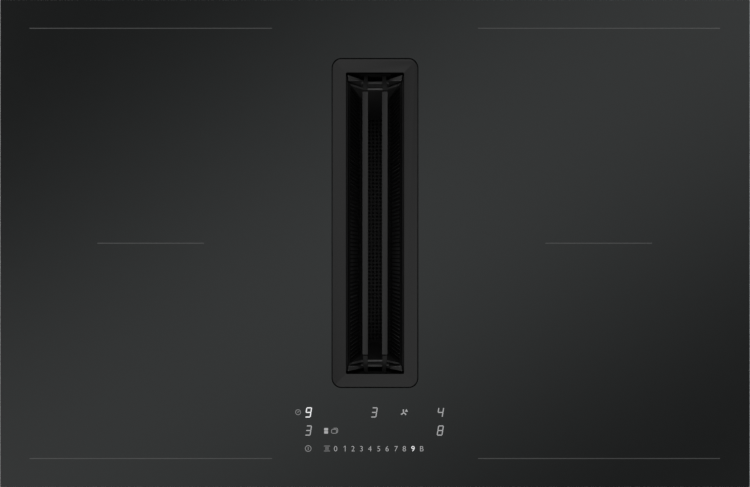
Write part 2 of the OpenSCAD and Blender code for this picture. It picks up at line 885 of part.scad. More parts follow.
// Lower shell of the housing, open at the rear for the outlet
module base_pan() {
    color([0.13, 0.13, 0.14]) {
        difference() {
            translate([0, case_y, 0]) tub(case_w, case_d, pan_h, case_r, case_wall, case_wall);
            translate([outlet_x, case_rear - case_wall / 2, spigot_z - plenum_gap])
                block(outlet_w + 2 * plenum_gap, case_wall + 2 * overrun,
                    outlet_h + 2 * plenum_gap);
            at_spigot_screws() rotate([90, 0, 0]) cylinder(r = screw_r + run_gap, h = case_r);
        }
        intersection() {
            at_ears() translate([0, 0, pan_h - ear_t]) ear();
            difference() {
                block(2 * case_w, 2 * case_d, total_h);
                block(case_w - case_wall, 2 * case_d, total_h);
            }
        }
    }
}

// Upper shell of the housing, with the deck that the hob tray stands on
module case_upper() {
    color([0.13, 0.13, 0.14]) difference() {
        union() {
            translate([0, case_y, pan_h])
                frame(case_w, case_d, tray_z - pan_h, case_r, case_wall);
            translate([0, case_y, tray_z - case_wall]) slab(case_w, case_d, case_wall, case_r);
            at_deck_screws() translate([0, 0, tray_z - boss_h]) cylinder(r = boss_r, h = boss_h);
            intersection() {
                at_ears() translate([0, 0, pan_h]) ear();
                difference() {
                    block(2 * case_w, 2 * case_d, total_h);
                    block(case_w - case_wall, 2 * case_d, total_h);
                }
            }
        }
        at_inlet(tray_z - case_wall - overrun)
            slab(well_w + 2 * (well_wall + plenum_gap), well_l + 2 * (well_wall + plenum_gap),
                case_wall + 2 * overrun, well_r + well_wall + plenum_gap);
        at_deck_screws() translate([0, 0, tray_z - boss_h - overrun])
            cylinder(r = screw_r + run_gap, h = boss_h + 2 * overrun);
    }
}

// Pan-head screw with its head on top at z = 0 and its shank below
module screw(length) {
    translate([0, 0, -length]) cylinder(r = screw_r, h = length);
    cylinder(r = screw_head_r, h = screw_head_t);
}

// Screws of the tray, the housing's ears and the outlet's flange
module housing_screws() {
    color([0.7, 0.7, 0.72]) {
        at_deck_screws() translate([0, 0, tray_floor]) screw(boss_h);
        at_ears() translate([0, 0, pan_h - ear_t]) mirror([0, 0, 1]) screw(2 * ear_t);
        at_spigot_screws() rotate([-90, 0, 0]) screw(spigot_flange_t + case_wall);
    }
}

// Scroll of the fan: a spiral with a blunt tongue, hollowed down to its floor and open to the
// outlet at its rear end
module scroll_lower() {
    right = outlet_x + outlet_w / 2;
    left = outlet_x - outlet_w / 2;
    outer = scroll_arc(scroll_wall);
    outline = concat([for (i = [1:scroll_steps]) outer[i]],
        [[right + scroll_wall, channel_end], [left - scroll_wall, channel_end]]);
    hollow = concat([outer[0]], scroll_arc(0),
        [[right, channel_end + overrun], [left, channel_end + overrun], [left, channel_end]]);
    color([0.24, 0.24, 0.25]) translate([0, 0, scroll_z]) difference() {
        linear_extrude(scroll_h) polygon(outline);
        translate([0, 0, scroll_floor_t]) linear_extrude(scroll_h) polygon(hollow);
    }
}

// Plate over the scroll and floor of the plenum, from the well to the housing's walls
module scroll_upper() {
    y0 = case_wall + plenum_gap - case_front;
    y1 = case_rear - case_wall - plenum_gap;
    color([0.2, 0.2, 0.21]) translate([0, 0, scroll_top]) linear_extrude(plate_top_t)
        difference() {
            translate([bay_x, (y0 + y1) / 2]) polygon(round_rect(bay_w, y1 - y0, case_r));
            translate([fan_x, fan_y]) circle(r = inlet_lip_r + inlet_curve_r);
        }
}

// Flared ring through which air drops into the impeller
module fan_inlet_ring() {
    outer = inlet_lip_r + inlet_curve_r;
    curve = [for (i = [0:corner_steps]) let (a = 180 - 90 * i / corner_steps) [cos(a), sin(a)]];
    color([0.3, 0.3, 0.31]) translate([fan_x, fan_y, scroll_top + plate_top_t - inlet_curve_r
        + inlet_t]) rotate_extrude() translate([outer, 0]) polygon(concat(
            [for (c = curve) inlet_curve_r * c],
            [[inlet_flange, inlet_curve_r], [inlet_flange, inlet_curve_r - inlet_t]],
            [for (c = reversed(curve)) (inlet_curve_r - inlet_t) * c]));
}

// Plan of one forward-curved blade, from its inner to its outer edge
function blade_point(t, side) = let (
    r = blade_in_r + (impeller_r - blade_edge - blade_in_r) * t,
    a = blade_sweep * t - blade_curl * t * t,
    across = side * blade_t / 2 / r * 180 / PI)
    [r * cos(a + across), r * sin(a + across)];

// Impeller: a disc with a hub over the motor, a ring of blades and a top ring
module impeller() {
    hub_r = rotor_r + hub_gap;
    disc_r = impeller_r;
    side = [for (i = [0:blade_steps]) i / blade_steps];
    color([0.3, 0.3, 0.32]) translate([fan_x, fan_y, 0]) {
        rotate_extrude() polygon([
            [hub_r, hub_z], [disc_r, hub_z], [disc_r, hub_z + disc_t],
            [hub_r + hub_wall, hub_z + disc_t],
            [hub_r + hub_wall, rotor_top + hub_gap + hub_wall],
            [shaft_r + hub_gap, rotor_top + hub_gap + hub_wall],
            [shaft_r + hub_gap, rotor_top + hub_gap], [hub_r, rotor_top + hub_gap]
        ]);
        for (i = [0:blade_count - 1])
            rotate([0, 0, 360 * i / blade_count]) translate([0, 0, hub_z + disc_t / 2])
                linear_extrude(blade_h + disc_t / 2 + ring_h / 2) polygon(concat(
                    [for (t = side) blade_point(t, -1)],
                    [for (t = reversed(side)) blade_point(t, 1)]));
        translate([0, 0, hub_z + disc_t + blade_h]) linear_extrude(ring_h) difference() {
            circle(r = disc_r);
            circle(r = blade_in_r - blade_edge);
        }
    }
}

// Rotor cup of the motor, open at the bottom
module motor_rotor() {
    color([0.55, 0.56, 0.58]) translate([fan_x, fan_y, 0]) rotate_extrude() polygon([
        [rotor_r - rotor_wall, rotor_z], [rotor_r, rotor_z], [rotor_r, rotor_top],
        [shaft_r + run_gap, rotor_top], [shaft_r + run_gap, rotor_top - rotor_wall],
        [rotor_r - rotor_wall, rotor_top - rotor_wall]
    ]);
}

module motor_shaft() {
    color([0.75, 0.76, 0.78]) translate([fan_x, fan_y, motor_z + motor_flange_t])
        cylinder(r = shaft_r, h = rotor_top - motor_z - motor_flange_t + 2 * hub_wall);
}

// Motor flange on the scroll's floor, with the tube that holds the bearings
module motor_base() {
    color([0.6, 0.61, 0.62]) translate([fan_x, fan_y, motor_z]) rotate_extrude() polygon([
        [0, 0], [motor_flange_r, 0], [motor_flange_r, motor_flange_t],
        [tube_r, motor_flange_t], [tube_r, motor_flange_t + tube_h],
        [bearing_r, motor_flange_t + tube_h], [bearing_r, motor_flange_t],
        [shaft_r + hub_wall, motor_flange_t], [shaft_r + hub_wall, motor_flange_t / 2],
        [0, motor_flange_t / 2]
    ]);
}

// Laminated stator on the tube, with slots for its windings
module motor_stator() {
    color([0.45, 0.35, 0.25]) translate([fan_x, fan_y, motor_z + motor_flange_t + rotor_wall])
        linear_extrude(stator_h) difference() {
            circle(r = stator_r);
            circle(r = tube_r + run_gap);
            for (i = [0:stator_slots - 1]) rotate([0, 0, 360 * i / stator_slots])
                translate([tube_r + stator_yoke, -stator_slot_w / 2])
                    square([stator_r, stator_slot_w]);
        }
}

module motor_bearings() {
    color([0.8, 0.8, 0.82]) translate([fan_x, fan_y, motor_z + motor_flange_t])
        for (z = [seat_gap, tube_h - bearing_h])
            translate([0, 0, z]) difference() {
                cylinder(r = bearing_r - run_gap, h = bearing_h);
                translate([0, 0, -overrun])
                    cylinder(r = shaft_r + run_gap, h = bearing_h + 2 * overrun);
            }
}

// Places of the screws in the outlet's flange, on its outer face
module at_spigot_screws() {
    for (side = [-1, 1], share = spigot_screw_shares)
        translate([outlet_x + side * (outlet_w + spigot_flange) / 2,
            case_rear + spigot_flange_t, spigot_z + share * outlet_h]) children();
}

// Rectangular outlet with its flange on the housing's rear wall
module outlet_spigot() {
    depth = spigot_in + case_wall + spigot_out;
    color([0.15, 0.15, 0.16]) difference() {
        union() {
            translate([outlet_x, case_rear + spigot_out - depth / 2, spigot_z])
                block(outlet_w, depth, outlet_h);
            translate([outlet_x, case_rear + spigot_flange_t / 2, spigot_z - spigot_flange_low])
                block(outlet_w + 2 * spigot_flange, spigot_flange_t,
                    outlet_h + 2 * spigot_flange_low);
        }
        translate([outlet_x, case_rear + spigot_out - depth / 2, spigot_z + spigot_wall])
            block(outlet_w - 2 * spigot_wall, depth + 2 * overrun, outlet_h - 2 * spigot_wall);
        at_spigot_screws() rotate([90, 0, 0])
            translate([0, 0, -overrun])
                cylinder(r = screw_r + screw_gap, h = spigot_flange_t + 2 * overrun);
        translate([outlet_x, flap_y, spigot_z - overrun])
            cylinder(r = pin_r + run_gap, h = outlet_h + 2 * overrun);
    }
}

// One leaf of the non-return flap, with every second knuckle of the hinge
module flap(first) {
    inner_h = outlet_h - 2 * spigot_wall - 2 * flap_gap;
    step = inner_h / knuckle_count;
    color([0.5, 0.5, 0.52]) translate([outlet_x, flap_y, spigot_z + spigot_wall + flap_gap])
        difference() {
            union() {
                translate([knuckle_r + flap_gap, -flap_t / 2, 0])
                    cube([outlet_w / 2 - spigot_wall - 2 * flap_gap - knuckle_r, flap_t, inner_h]);
                for (i = [first:2:knuckle_count - 1]) translate([0, 0, i * step + flap_gap / 4]) {
                    cylinder(r = knuckle_r, h = step - flap_gap / 2);
                    translate([0, -flap_t / 2, 0])
                        cube([knuckle_r + 2 * flap_gap, flap_t, step - flap_gap / 2]);
                }
            }
            translate([0, 0, -overrun])
                cylinder(r = pin_r + run_gap, h = inner_h + 2 * overrun);
        }
}

module flap_right() {
    flap(0);
}

module flap_left() {
    translate([2 * outlet_x, 0, 0]) mirror([1, 0, 0]) flap(1);
}

module flap_pin() {
    color([0.75, 0.75, 0.77]) translate([outlet_x, flap_y, spigot_z])
        cylinder(r = pin_r, h = outlet_h);
}

// Flat coil of litz wire, with a groove between its turns
module coil(x, y) {
    color([0.72, 0.42, 0.2]) translate([x, y, coil_z]) rotate_extrude() polygon(concat(
        [[coil_bore_r, 0]],
        [[coil_r, 0]],
        [for (i = [coil_turns - 1:-1:0]) let (r = coil_bore_r + i * coil_step)
            for (p = [[r + coil_step - coil_groove / 2, coil_t - coil_groove],
                [r + coil_step * 3 / 4, coil_t], [r + coil_step / 4, coil_t],
                [r + coil_groove / 2, coil_t - coil_groove]]) p],
        [[coil_bore_r, coil_t - coil_groove]]));
}

module coil_rear_left() {
    coil(-coil_x, coil_y);
}

module coil_front_left() {
    coil(-coil_x, -coil_y);
}

module coil_rear_right() {
    coil(coil_x, coil_y);
}

module coil_front_right() {
    coil(coil_x, -coil_y);
}

module at_coils() {
    for (sx = [-1, 1], sy = [-1, 1]) translate([sx * coil_x, sy * coil_y, 0]) children();
}

// Spoked discs that carry the windings
module coil_carriers() {
    color([0.85, 0.85, 0.82]) at_coils() translate([0, 0, carrier_z]) linear_extrude(carrier_t)
        difference() {
            circle(r = coil_r + carrier_rim);
            difference() {
                circle(r = coil_r - hub_rim);
                circle(r = coil_bore_r + hub_rim);
                for (i = [0:spoke_count / 2 - 1]) rotate(360 * i / spoke_count)
                    square([2 * coil_r, spoke_w], center = true);
            }
            circle(r = sensor_r + carrier_rim);
        }
}

// Radial ferrite bars under the windings
module ferrite_bars() {
    color([0.25, 0.24, 0.24]) at_coils() for (i = [0:ferrite_count - 1])
        rotate([0, 0, 360 * i / ferrite_count])
            translate([coil_bore_r + ferrite_end, -ferrite_w / 2, ferrite_z])
                cube([coil_r - coil_bore_r - 2 * ferrite_end, ferrite_w, ferrite_t]);
}

// Aluminium plate on posts that carries the two coils of one side
module coil_plate_right() {
    color([0.78, 0.79, 0.8]) {
        difference() {
            translate([coil_x, 0, plate_z]) slab(zone_w, zone_d, plate_t, tray_r);
            for (sy = [-1, 1]) translate([coil_x, sy * coil_y, plate_z - overrun])
                cylinder(r = sensor_r + carrier_rim, h = plate_t + 2 * overrun);
        }
        for (sx = [-1, 0, 1], sy = [-1, 1])
            translate([coil_x + sx * (zone_w / 2 - 2 * post_inset),
                sy * (zone_d / 2 - post_inset), tray_floor])
                cylinder(r = post_r, h = plate_z - tray_floor);
    }
}

module coil_plate_left() {
    mirror([1, 0, 0]) coil_plate_right();
}

// Insulating mats between the windings and the glass
module coil_mats() {
    color([0.9, 0.9, 0.88]) at_coils() translate([0, 0, mat_z]) linear_extrude(mat_t)
        difference() {
            circle(r = coil_r + carrier_rim);
            circle(r = sensor_r + carrier_rim);
        }
}

// Temperature sensors in the middle of the coils, seated in the carriers
module temperature_sensors() {
    color([0.85, 0.85, 0.86]) at_coils() {
        translate([0, 0, coil_z]) cylinder(r = sensor_r, h = mat_z + mat_t - coil_z);
        translate([0, 0, carrier_z + carrier_t])
            cylinder(r = sensor_r + 2 * carrier_rim, h = carrier_t);
    }
}

// Circuit board with stand-offs under its corners
module board(w, d, gap) {
    color([0.1, 0.35, 0.2]) {
        translate([0, 0, gap]) block(w, d, board_t);
        for (sx = [-1, 1], sy = [-1, 1])
            translate([sx * (w / 2 - 2 * standoff_r), sy * (d / 2 - 2 * standoff_r), 0])
                cylinder(r = standoff_r, h = gap);
    }
}

// Power board of one side, with chokes and capacitors beside the heatsink
module power_board_right() {
    x = board_x + board_w / 2;
    translate([x, board_y, tray_floor]) board(board_w, board_d, board_gap);
    translate([board_x, board_y, board_z + board_t]) {
        color([0.7, 0.6, 0.2]) for (sy = [-1, 0, 1])
            translate([board_w / 4, sy * board_d / 3, 0]) difference() {
                cylinder(r = choke_r, h = choke_h);
                translate([0, 0, -overrun]) cylinder(r = choke_r / 2, h = choke_h + 2 * overrun);
            }
        color([0.2, 0.2, 0.25]) for (sy = [-1, 1], sx = [0, 1])
            translate([board_w / 8 + sx * board_w / 4, sy * board_d / 6, 0])
                block(cap_w, cap_d, cap_h);
    }
}

module power_boards() {
    both_sides() power_board_right();
}

// Finned aluminium heatsinks that stand on the power boards
module heatsinks() {
    color([0.75, 0.76, 0.77]) both_sides()
        translate([board_x + board_w - sink_w / 2 - sink_clear, board_y, board_z + board_t]) {
            block(sink_w, sink_d, sink_base);
            for (i = [0:sink_fins - 1])
                translate([(i / (sink_fins - 1) - 0.5) * (sink_w - sink_fin_t), 0, 0])
                    block(sink_fin_t, sink_d, sink_h);
        }
}

// Frames of the two cooling fans, over the slots in the tray's floor
module cooling_fan_frames() {
    color([0.1, 0.1, 0.1]) for (side = [-1, 1])
        translate([side * cooler_x, cooler_y, tray_floor]) {
            linear_extrude(cooler_hub_t) difference() {
                polygon(round_rect(cooler_w, cooler_w, cooler_arm));
                difference() {
                    circle(r = cooler_bore_r);
                    circle(r = cooler_hub_r);
                    for (i = [0:1]) rotate(45 + 90 * i)
                        square([2 * cooler_w, cooler_arm], center = true);
                }
                circle(r = cooler_pin_r + run_gap);
            }
            translate([0, 0, cooler_hub_t]) linear_extrude(cooler_h - cooler_hub_t) difference() {
                polygon(round_rect(cooler_w, cooler_w, cooler_arm));
                circle(r = cooler_bore_r);
            }
        }
}

// Rotor of a cooling fan: a hub with a pin and slanted blades
module cooling_rotor_right() {
    blade_top = cooler_h - cooler_hub_t - 2 * cooler_gap;
    color([0.15, 0.15, 0.16]) translate([cooler_x, cooler_y, tray_floor]) {
        cylinder(r = cooler_pin_r, h = cooler_hub_t + 2 * cooler_gap);
        translate([0, 0, cooler_hub_t + cooler_gap]) {
            cylinder(r = cooler_hub_r, h = blade_top);
            intersection() {
                difference() {
                    cylinder(r = cooler_bore_r - cooler_gap, h = blade_top);
                    translate([0, 0, -overrun])
                        cylinder(r = cooler_hub_r - cooler_gap, h = blade_top + 2 * overrun);
                }
                for (i = [0:cooler_blades - 1]) rotate([0, 0, 360 * i / cooler_blades])
                    translate([cooler_bore_r / 2, 0, blade_top / 2])
                        rotate([cooler_pitch, 0, 0])
                            cube([cooler_bore_r, cooler_blade_t, 2 * blade_top], center = true);
            }
        }
    }
}

module cooling_rotor_left() {
    mirror([1, 0, 0]) cooling_rotor_right();
}

// Stand behind the front edge that holds the touch board up to the glass
module touch_carrier() {
    color([0.15, 0.15, 0.16]) translate([touch_x, touch_y, 0]) {
        translate([0, 0, touch_z]) block(touch_w, touch_d, touch_plate_t);
        for (sx = [-1, 1], sy = [-1, 1])
            translate([sx * (touch_w / 2 - 2 * post_r), sy * (touch_d / 2 - 2 * post_r), tray_floor])
                cylinder(r = post_r, h = touch_z - tray_floor);
    }
}

module touch_board() {
    color([0.1, 0.35, 0.2]) translate([touch_x, touch_y, touch_z + touch_plate_t])
        block(touch_w - guide_inset, touch_d - guide_inset, board_t);
}

// Light guide over the touch board, with a shaft for each number display
module light_guide() {
    color([0.85, 0.85, 0.85]) translate([touch_x, touch_y, touch_z + touch_plate_t + board_t])
        linear_extrude(guide_t) difference() {
            square([touch_w - 2 * guide_inset, touch_d - 2 * guide_inset], center = true);
            for (share = window_x_shares) translate([share * touch_w, touch_row_back])
                square([window_w, window_d], center = true);
            translate([0, -touch_row_front]) square([touch_row_w, touch_row_d], center = true);
        }
}

// Mains filter board with its choke and capacitors
module mains_board() {
    translate([mains_x, mains_y, tray_floor]) {
        board(mains_w, mains_d, board_gap);
        translate([0, mains_d / 4, board_gap + board_t]) color([0.7, 0.6, 0.2]) difference() {
            cylinder(r = choke_r, h = choke_h);
            translate([0, 0, -overrun]) cylinder(r = choke_r / 2, h = choke_h + 2 * overrun);
        }
        color([0.8, 0.7, 0.1]) for (sy = [-1, 0])
            translate([0, sy * mains_d / 4, board_gap + board_t]) block(cap_w, cap_d, cap_h);
    }
}

// Control board of the fan, on the floor of the left bay
module fan_board() {
    translate([-bay_x, 0, case_wall]) {
        board(fan_board_w, fan_board_d, fan_board_gap);
        color([0.2, 0.2, 0.25]) for (sy = [-1, 0, 1])
            translate([-fan_board_w / 4, sy * fan_board_d / 4, fan_board_gap + board_t])
                cylinder(r = cap_d / 2, h = cap_w);
        color([0.75, 0.76, 0.77])
            translate([fan_board_w / 4, 0, fan_board_gap + board_t])
                block(cap_w, fan_board_d / 2, cap_h);
    }
}

// Terminal box under the tray's left side, open downwards
module terminal_box() {
    color([0.12, 0.12, 0.13]) difference() {
        translate([box_x, box_y, tray_z - box_h]) block(box_w, box_d, box_h);
        translate([box_x, box_y, tray_z - box_h - overrun])
            block(box_w - 2 * box_wall, box_d - 2 * box_wall, box_h - box_wall + overrun);
        translate([box_x, box_y + box_d / 2, gland_z]) rotate([90, 0, 0])
            cylinder(r = gland_r + screw_gap, h = 4 * box_wall, center = true);
    }
}

module terminal_lid() {
    color([0.12, 0.12, 0.13]) translate([box_x, box_y, tray_z - box_h - lid_t])
        block(box_w, box_d, lid_t);
}

// Terminal block with a wire hole for each pole
module terminal_block() {
    pole = block_w / block_poles;
    color([0.88, 0.88, 0.85]) translate([box_x, box_y - box_d / 4, tray_z - box_wall - block_h])
        difference() {
            block(block_w, block_d, block_h);
            for (i = [0:block_poles - 1])
                translate([(i + 0.5) * pole - block_w / 2, 0, block_h / 2]) rotate([90, 0, 0])
                    cylinder(r = pole / 4, h = block_d + 2 * overrun, center = true);
        }
}

// Gland for the mains lead in the rear wall of the terminal box
module cable_gland() {
    color([0.1, 0.1, 0.1]) translate([box_x, box_y + box_d / 2, gland_z]) rotate([-90, 0, 0])
        difference() {
            union() {
                translate([0, 0, -2 * box_wall]) cylinder(r = gland_r, h = gland_l);
                cylinder(r = gland_nut_r, h = gland_nut_t, $fn = 6);
            }
            translate([0, 0, -gland_l])
                cylinder(r = gland_bore_r, h = 3 * gland_l);
        }
}

// Leaf springs on the tray's side walls that centre the cooktop in the worktop's cut-out
module mounting_springs() {
    color([0.78, 0.79, 0.8]) for (side = [-1, 1], sy = [-1, 1])
        scale([side, 1, 1]) translate([tray_w / 2, sy * spring_y_share * glass_d, tray_floor])
            translate([0, spring_w / 2, 0]) along_y(spring_w) polygon([
                [0, 0], [spring_t, 0], [spring_bow + spring_t, spring_l / 2],
                [spring_t, spring_l], [0, spring_l], [spring_bow, spring_l / 2]
            ]);
}

glass_top();
sealing_strip();
hob_tray();
inlet_collar();
collar_seal();
inlet_well();
drip_tray();
filter_frame();
filter_liner();
louvre_left();
louvre_right();
mesh_left();
mesh_right();
filter_screen();
grille_bezel();
grille_carrier();
bar_left();
bar_right();
base_pan();
case_upper();
housing_screws();
scroll_lower();
scroll_upper();
fan_inlet_ring();
impeller();
motor_rotor();
motor_shaft();
motor_base();
motor_stator();
motor_bearings();
outlet_spigot();
flap_left();
flap_right();
flap_pin();
coil_rear_left();
coil_front_left();
coil_rear_right();
coil_front_right();
coil_carriers();
ferrite_bars();
coil_plate_left();
coil_plate_right();
coil_mats();
temperature_sensors();
power_boards();
heatsinks();
cooling_fan_frames();
cooling_rotor_left();
cooling_rotor_right();
touch_carrier();
touch_board();
light_guide();
mains_board();
fan_board();
terminal_box();
terminal_lid();
terminal_block();
cable_gland();
mounting_springs();
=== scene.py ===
"""Looks of the 80 cm downdraft induction cooktop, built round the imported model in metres."""
import json
import math

import bmesh
import bpy
from mathutils import Matrix, Vector


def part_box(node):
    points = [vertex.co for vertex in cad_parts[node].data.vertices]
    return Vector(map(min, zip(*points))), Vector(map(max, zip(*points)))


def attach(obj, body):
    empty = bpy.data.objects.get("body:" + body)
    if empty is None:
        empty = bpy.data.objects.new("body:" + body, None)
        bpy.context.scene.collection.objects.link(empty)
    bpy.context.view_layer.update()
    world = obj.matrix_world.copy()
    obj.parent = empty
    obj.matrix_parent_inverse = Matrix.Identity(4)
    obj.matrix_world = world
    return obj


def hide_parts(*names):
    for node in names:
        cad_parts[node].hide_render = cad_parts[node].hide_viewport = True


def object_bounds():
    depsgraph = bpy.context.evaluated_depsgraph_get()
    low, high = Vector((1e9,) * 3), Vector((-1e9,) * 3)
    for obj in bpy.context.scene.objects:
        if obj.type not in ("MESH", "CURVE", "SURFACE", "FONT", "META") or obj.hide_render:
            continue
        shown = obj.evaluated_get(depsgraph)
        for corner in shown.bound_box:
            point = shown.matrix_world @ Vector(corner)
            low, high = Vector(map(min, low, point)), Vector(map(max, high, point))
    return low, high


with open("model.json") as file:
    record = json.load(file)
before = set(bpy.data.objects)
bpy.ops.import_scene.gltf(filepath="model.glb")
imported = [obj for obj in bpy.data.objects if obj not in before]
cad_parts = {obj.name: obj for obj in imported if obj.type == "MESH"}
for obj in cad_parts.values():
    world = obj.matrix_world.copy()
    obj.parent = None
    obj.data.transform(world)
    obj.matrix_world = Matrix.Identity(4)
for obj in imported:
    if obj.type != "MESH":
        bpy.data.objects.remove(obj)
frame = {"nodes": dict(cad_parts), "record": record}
cad_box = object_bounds()

MM = 0.001

# The glass fills the photograph, so its box gives the scale of a pixel: its upper plane would
# reach a little past the sides of the picture, because the bevels fall away there
glass_low, glass_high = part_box("glass_top")
TOP = glass_high[2]
PHOTO_W = 750
PHOTO_H = 487
GLASS_LEFT_PX = -0.35
GLASS_RIGHT_PX = 750.35
PIXEL = (glass_high[0] - glass_low[0]) / (GLASS_RIGHT_PX - GLASS_LEFT_PX)
CENTRE_PX = ((GLASS_LEFT_PX + GLASS_RIGHT_PX) / 2, PHOTO_H / 2)
CAMERA_HEIGHT = 460 * MM
CAMERA_FRONT = 12 * MM
SENSOR = 36.0

# Printed and lit marks stand this much proud of the glass and reach this far into it
PRINT_PROUD = 0.02 * MM
PRINT_DEPTH = 0.15 * MM


def at_pixel(px, py):
    """Point on the glass that the photograph shows at a pixel."""
    return (px - CENTRE_PX[0]) * PIXEL, (CENTRE_PX[1] - py) * PIXEL


# Shader helpers

def grey(tone):
    return tone, tone, tone


def add_node(tree, kind, **settings):
    node = tree.nodes.new(kind)
    for key, value in settings.items():
        setattr(node, key, value)
    return node


def new_group(name, inputs):
    """Empty effect group with float inputs (name, default), and the place on the object."""
    group = bpy.data.node_groups.new(name, "ShaderNodeTree")
    for label, default in inputs:
        socket = group.interface.new_socket(label, in_out="INPUT", socket_type="NodeSocketFloat")
        socket.default_value = default
    for label in ("Mask", "Height"):
        group.interface.new_socket(label, in_out="OUTPUT", socket_type="NodeSocketFloat")
    place = add_node(group, "ShaderNodeTexCoord").outputs["Object"]
    return group, group.nodes.new("NodeGroupInput"), place


def close_group(group, mask, height):
    """Give the group its mask for tone and gloss, and its height for the relief."""
    sink = group.nodes.new("NodeGroupOutput")
    group.links.new(mask, sink.inputs["Mask"])
    group.links.new(height, sink.inputs["Height"])
    return group


def noise(tree, vector, scale, detail=3.0, roughness=0.55):
    node = add_node(tree, "ShaderNodeTexNoise")
    node.inputs["Detail"].default_value = detail
    node.inputs["Roughness"].default_value = roughness
    tree.links.new(vector, node.inputs["Vector"])
    if isinstance(scale, (int, float)):
        node.inputs["Scale"].default_value = scale
    else:
        tree.links.new(scale, node.inputs["Scale"])
    return node.outputs["Fac"]


def remap(tree, value, low, high, to_low=0.0, to_high=1.0):
    node = add_node(tree, "ShaderNodeMapRange")
    node.inputs["From Min"].default_value = low
    node.inputs["From Max"].default_value = high
    node.inputs["To Min"].default_value = to_low
    node.inputs["To Max"].default_value = to_high
    tree.links.new(value, node.inputs["Value"])
    return node.outputs["Result"]


def maths(tree, operation, first, second=None):
    node = add_node(tree, "ShaderNodeMath", operation=operation)
    for index, value in enumerate((first, second)):
        if value is None:
            continue
        if isinstance(value, (int, float)):
            node.inputs[index].default_value = value
        else:
            tree.links.new(value, node.inputs[index])
    return node.outputs[0]


def mixture(tree, first, share, second):
    """Share of the first value, with the rest of the second."""
    return maths(tree, "ADD", maths(tree, "MULTIPLY", first, share),
                 maths(tree, "MULTIPLY", second, 1 - share))


def axes_of(tree, place):
    parts = add_node(tree, "ShaderNodeSeparateXYZ")
    tree.links.new(place, parts.inputs[0])
    return parts.outputs


def grain_group():
    """Fine moulded grain with slow patches."""
    group, source, place = new_group("surface_grain", [("Fine", 900.0), ("Patch", 9.0)])
    fine = noise(group, place, source.outputs["Fine"], 2.0)
    patch = noise(group, place, source.outputs["Patch"], 4.0)
    mixed = mixture(group, fine, 0.35, patch)
    return close_group(group, remap(group, mixed, 0.35, 0.65), fine)


def brushed_group():
    """Fine scratches along Y with slow changes of tone."""
    group, source, place = new_group("brushed_lines", [("Across", 1400.0), ("Along", 12.0)])
    parts = axes_of(group, place)
    joined = add_node(group, "ShaderNodeCombineXYZ")
    for axis, scale in (("X", "Across"), ("Y", "Along"), ("Z", "Across")):
        group.links.new(maths(group, "MULTIPLY", parts[axis], source.outputs[scale]),
                        joined.inputs[axis])
    lines = noise(group, joined.outputs[0], 1.0, 2.0)
    patch = noise(group, place, 7.0, 3.0)
    mixed = mixture(group, lines, 0.6, patch)
    return close_group(group, remap(group, mixed, 0.3, 0.7), lines)


def haze_group():
    """Faint smears on polished glass: wide wiped arcs over a fine haze."""
    group, source, place = new_group("wiped_haze", [("Scale", 3.0)])
    wide = noise(group, place, source.outputs["Scale"], 5.0, 0.6)
    fine = noise(group, place, 60.0, 2.0)
    mixed = mixture(group, wide, 0.8, fine)
    return close_group(group, remap(group, mixed, 0.38, 0.66), wide)


def wire_group():
    """Crossing wires of a mesh pad, in two directions over the piece."""
    group, source, place = new_group("wire_weave", [("Pitch", 2400.0)])
    parts = axes_of(group, place)
    layers = []
    for axis_pair in ("YZ", "YX"):
        first, second = (maths(group, "MULTIPLY", parts[axis], source.outputs["Pitch"])
                         for axis in axis_pair)
        slants = [maths(group, "SINE", maths(group, way, first, second))
                  for way in ("ADD", "SUBTRACT")]
        layers.append(maths(group, "MAXIMUM", *slants))
    height = maths(group, "MAXIMUM", layers[0], maths(group, "MULTIPLY", layers[1], 0.6))
    return close_group(group, remap(group, height, 0.1, 0.9), height)


def spangle_group():
    """Crystals of a zinc coating on sheet steel."""
    group, source, place = new_group("zinc_spangle", [("Scale", 150.0)])
    cells = add_node(group, "ShaderNodeTexVoronoi")
    group.links.new(place, cells.inputs["Vector"])
    group.links.new(source.outputs["Scale"], cells.inputs["Scale"])
    tone = add_node(group, "ShaderNodeSeparateColor")
    group.links.new(cells.outputs["Color"], tone.inputs[0])
    patch = noise(group, place, 11.0, 3.0)
    mixed = mixture(group, tone.outputs[0], 0.5, patch)
    return close_group(group, remap(group, mixed, 0.2, 0.8), patch)


def strand_group():
    """Twisted strands of litz wire: fine slanted waves."""
    group, source, place = new_group("litz_strands", [("Pitch", 900.0)])
    wave = add_node(group, "ShaderNodeTexWave", bands_direction="DIAGONAL")
    wave.inputs["Distortion"].default_value = 2.0
    wave.inputs["Detail"].default_value = 1.0
    group.links.new(place, wave.inputs["Vector"])
    group.links.new(source.outputs["Pitch"], wave.inputs["Scale"])
    return close_group(group, wave.outputs["Fac"], wave.outputs["Fac"])


def trace_group():
    """Copper tracks under the lacquer of a circuit board."""
    group, source, place = new_group("board_tracks", [("Scale", 60.0)])
    bricks = add_node(group, "ShaderNodeTexBrick")
    bricks.inputs["Mortar Size"].default_value = 0.06
    for label, value in (("Color1", 0), ("Color2", 0.25), ("Mortar", 1)):
        bricks.inputs[label].default_value = (*grey(value), 1)
    group.links.new(place, bricks.inputs["Vector"])
    group.links.new(source.outputs["Scale"], bricks.inputs["Scale"])
    tone = add_node(group, "ShaderNodeSeparateColor")
    group.links.new(bricks.outputs["Color"], tone.inputs[0])
    return close_group(group, tone.outputs[0], tone.outputs[0])


GROUPS = {
    "grain": grain_group(),
    "brushed": brushed_group(),
    "haze": haze_group(),
    "wire": wire_group(),
    "spangle": spangle_group(),
    "strands": strand_group(),
    "tracks": trace_group(),
}


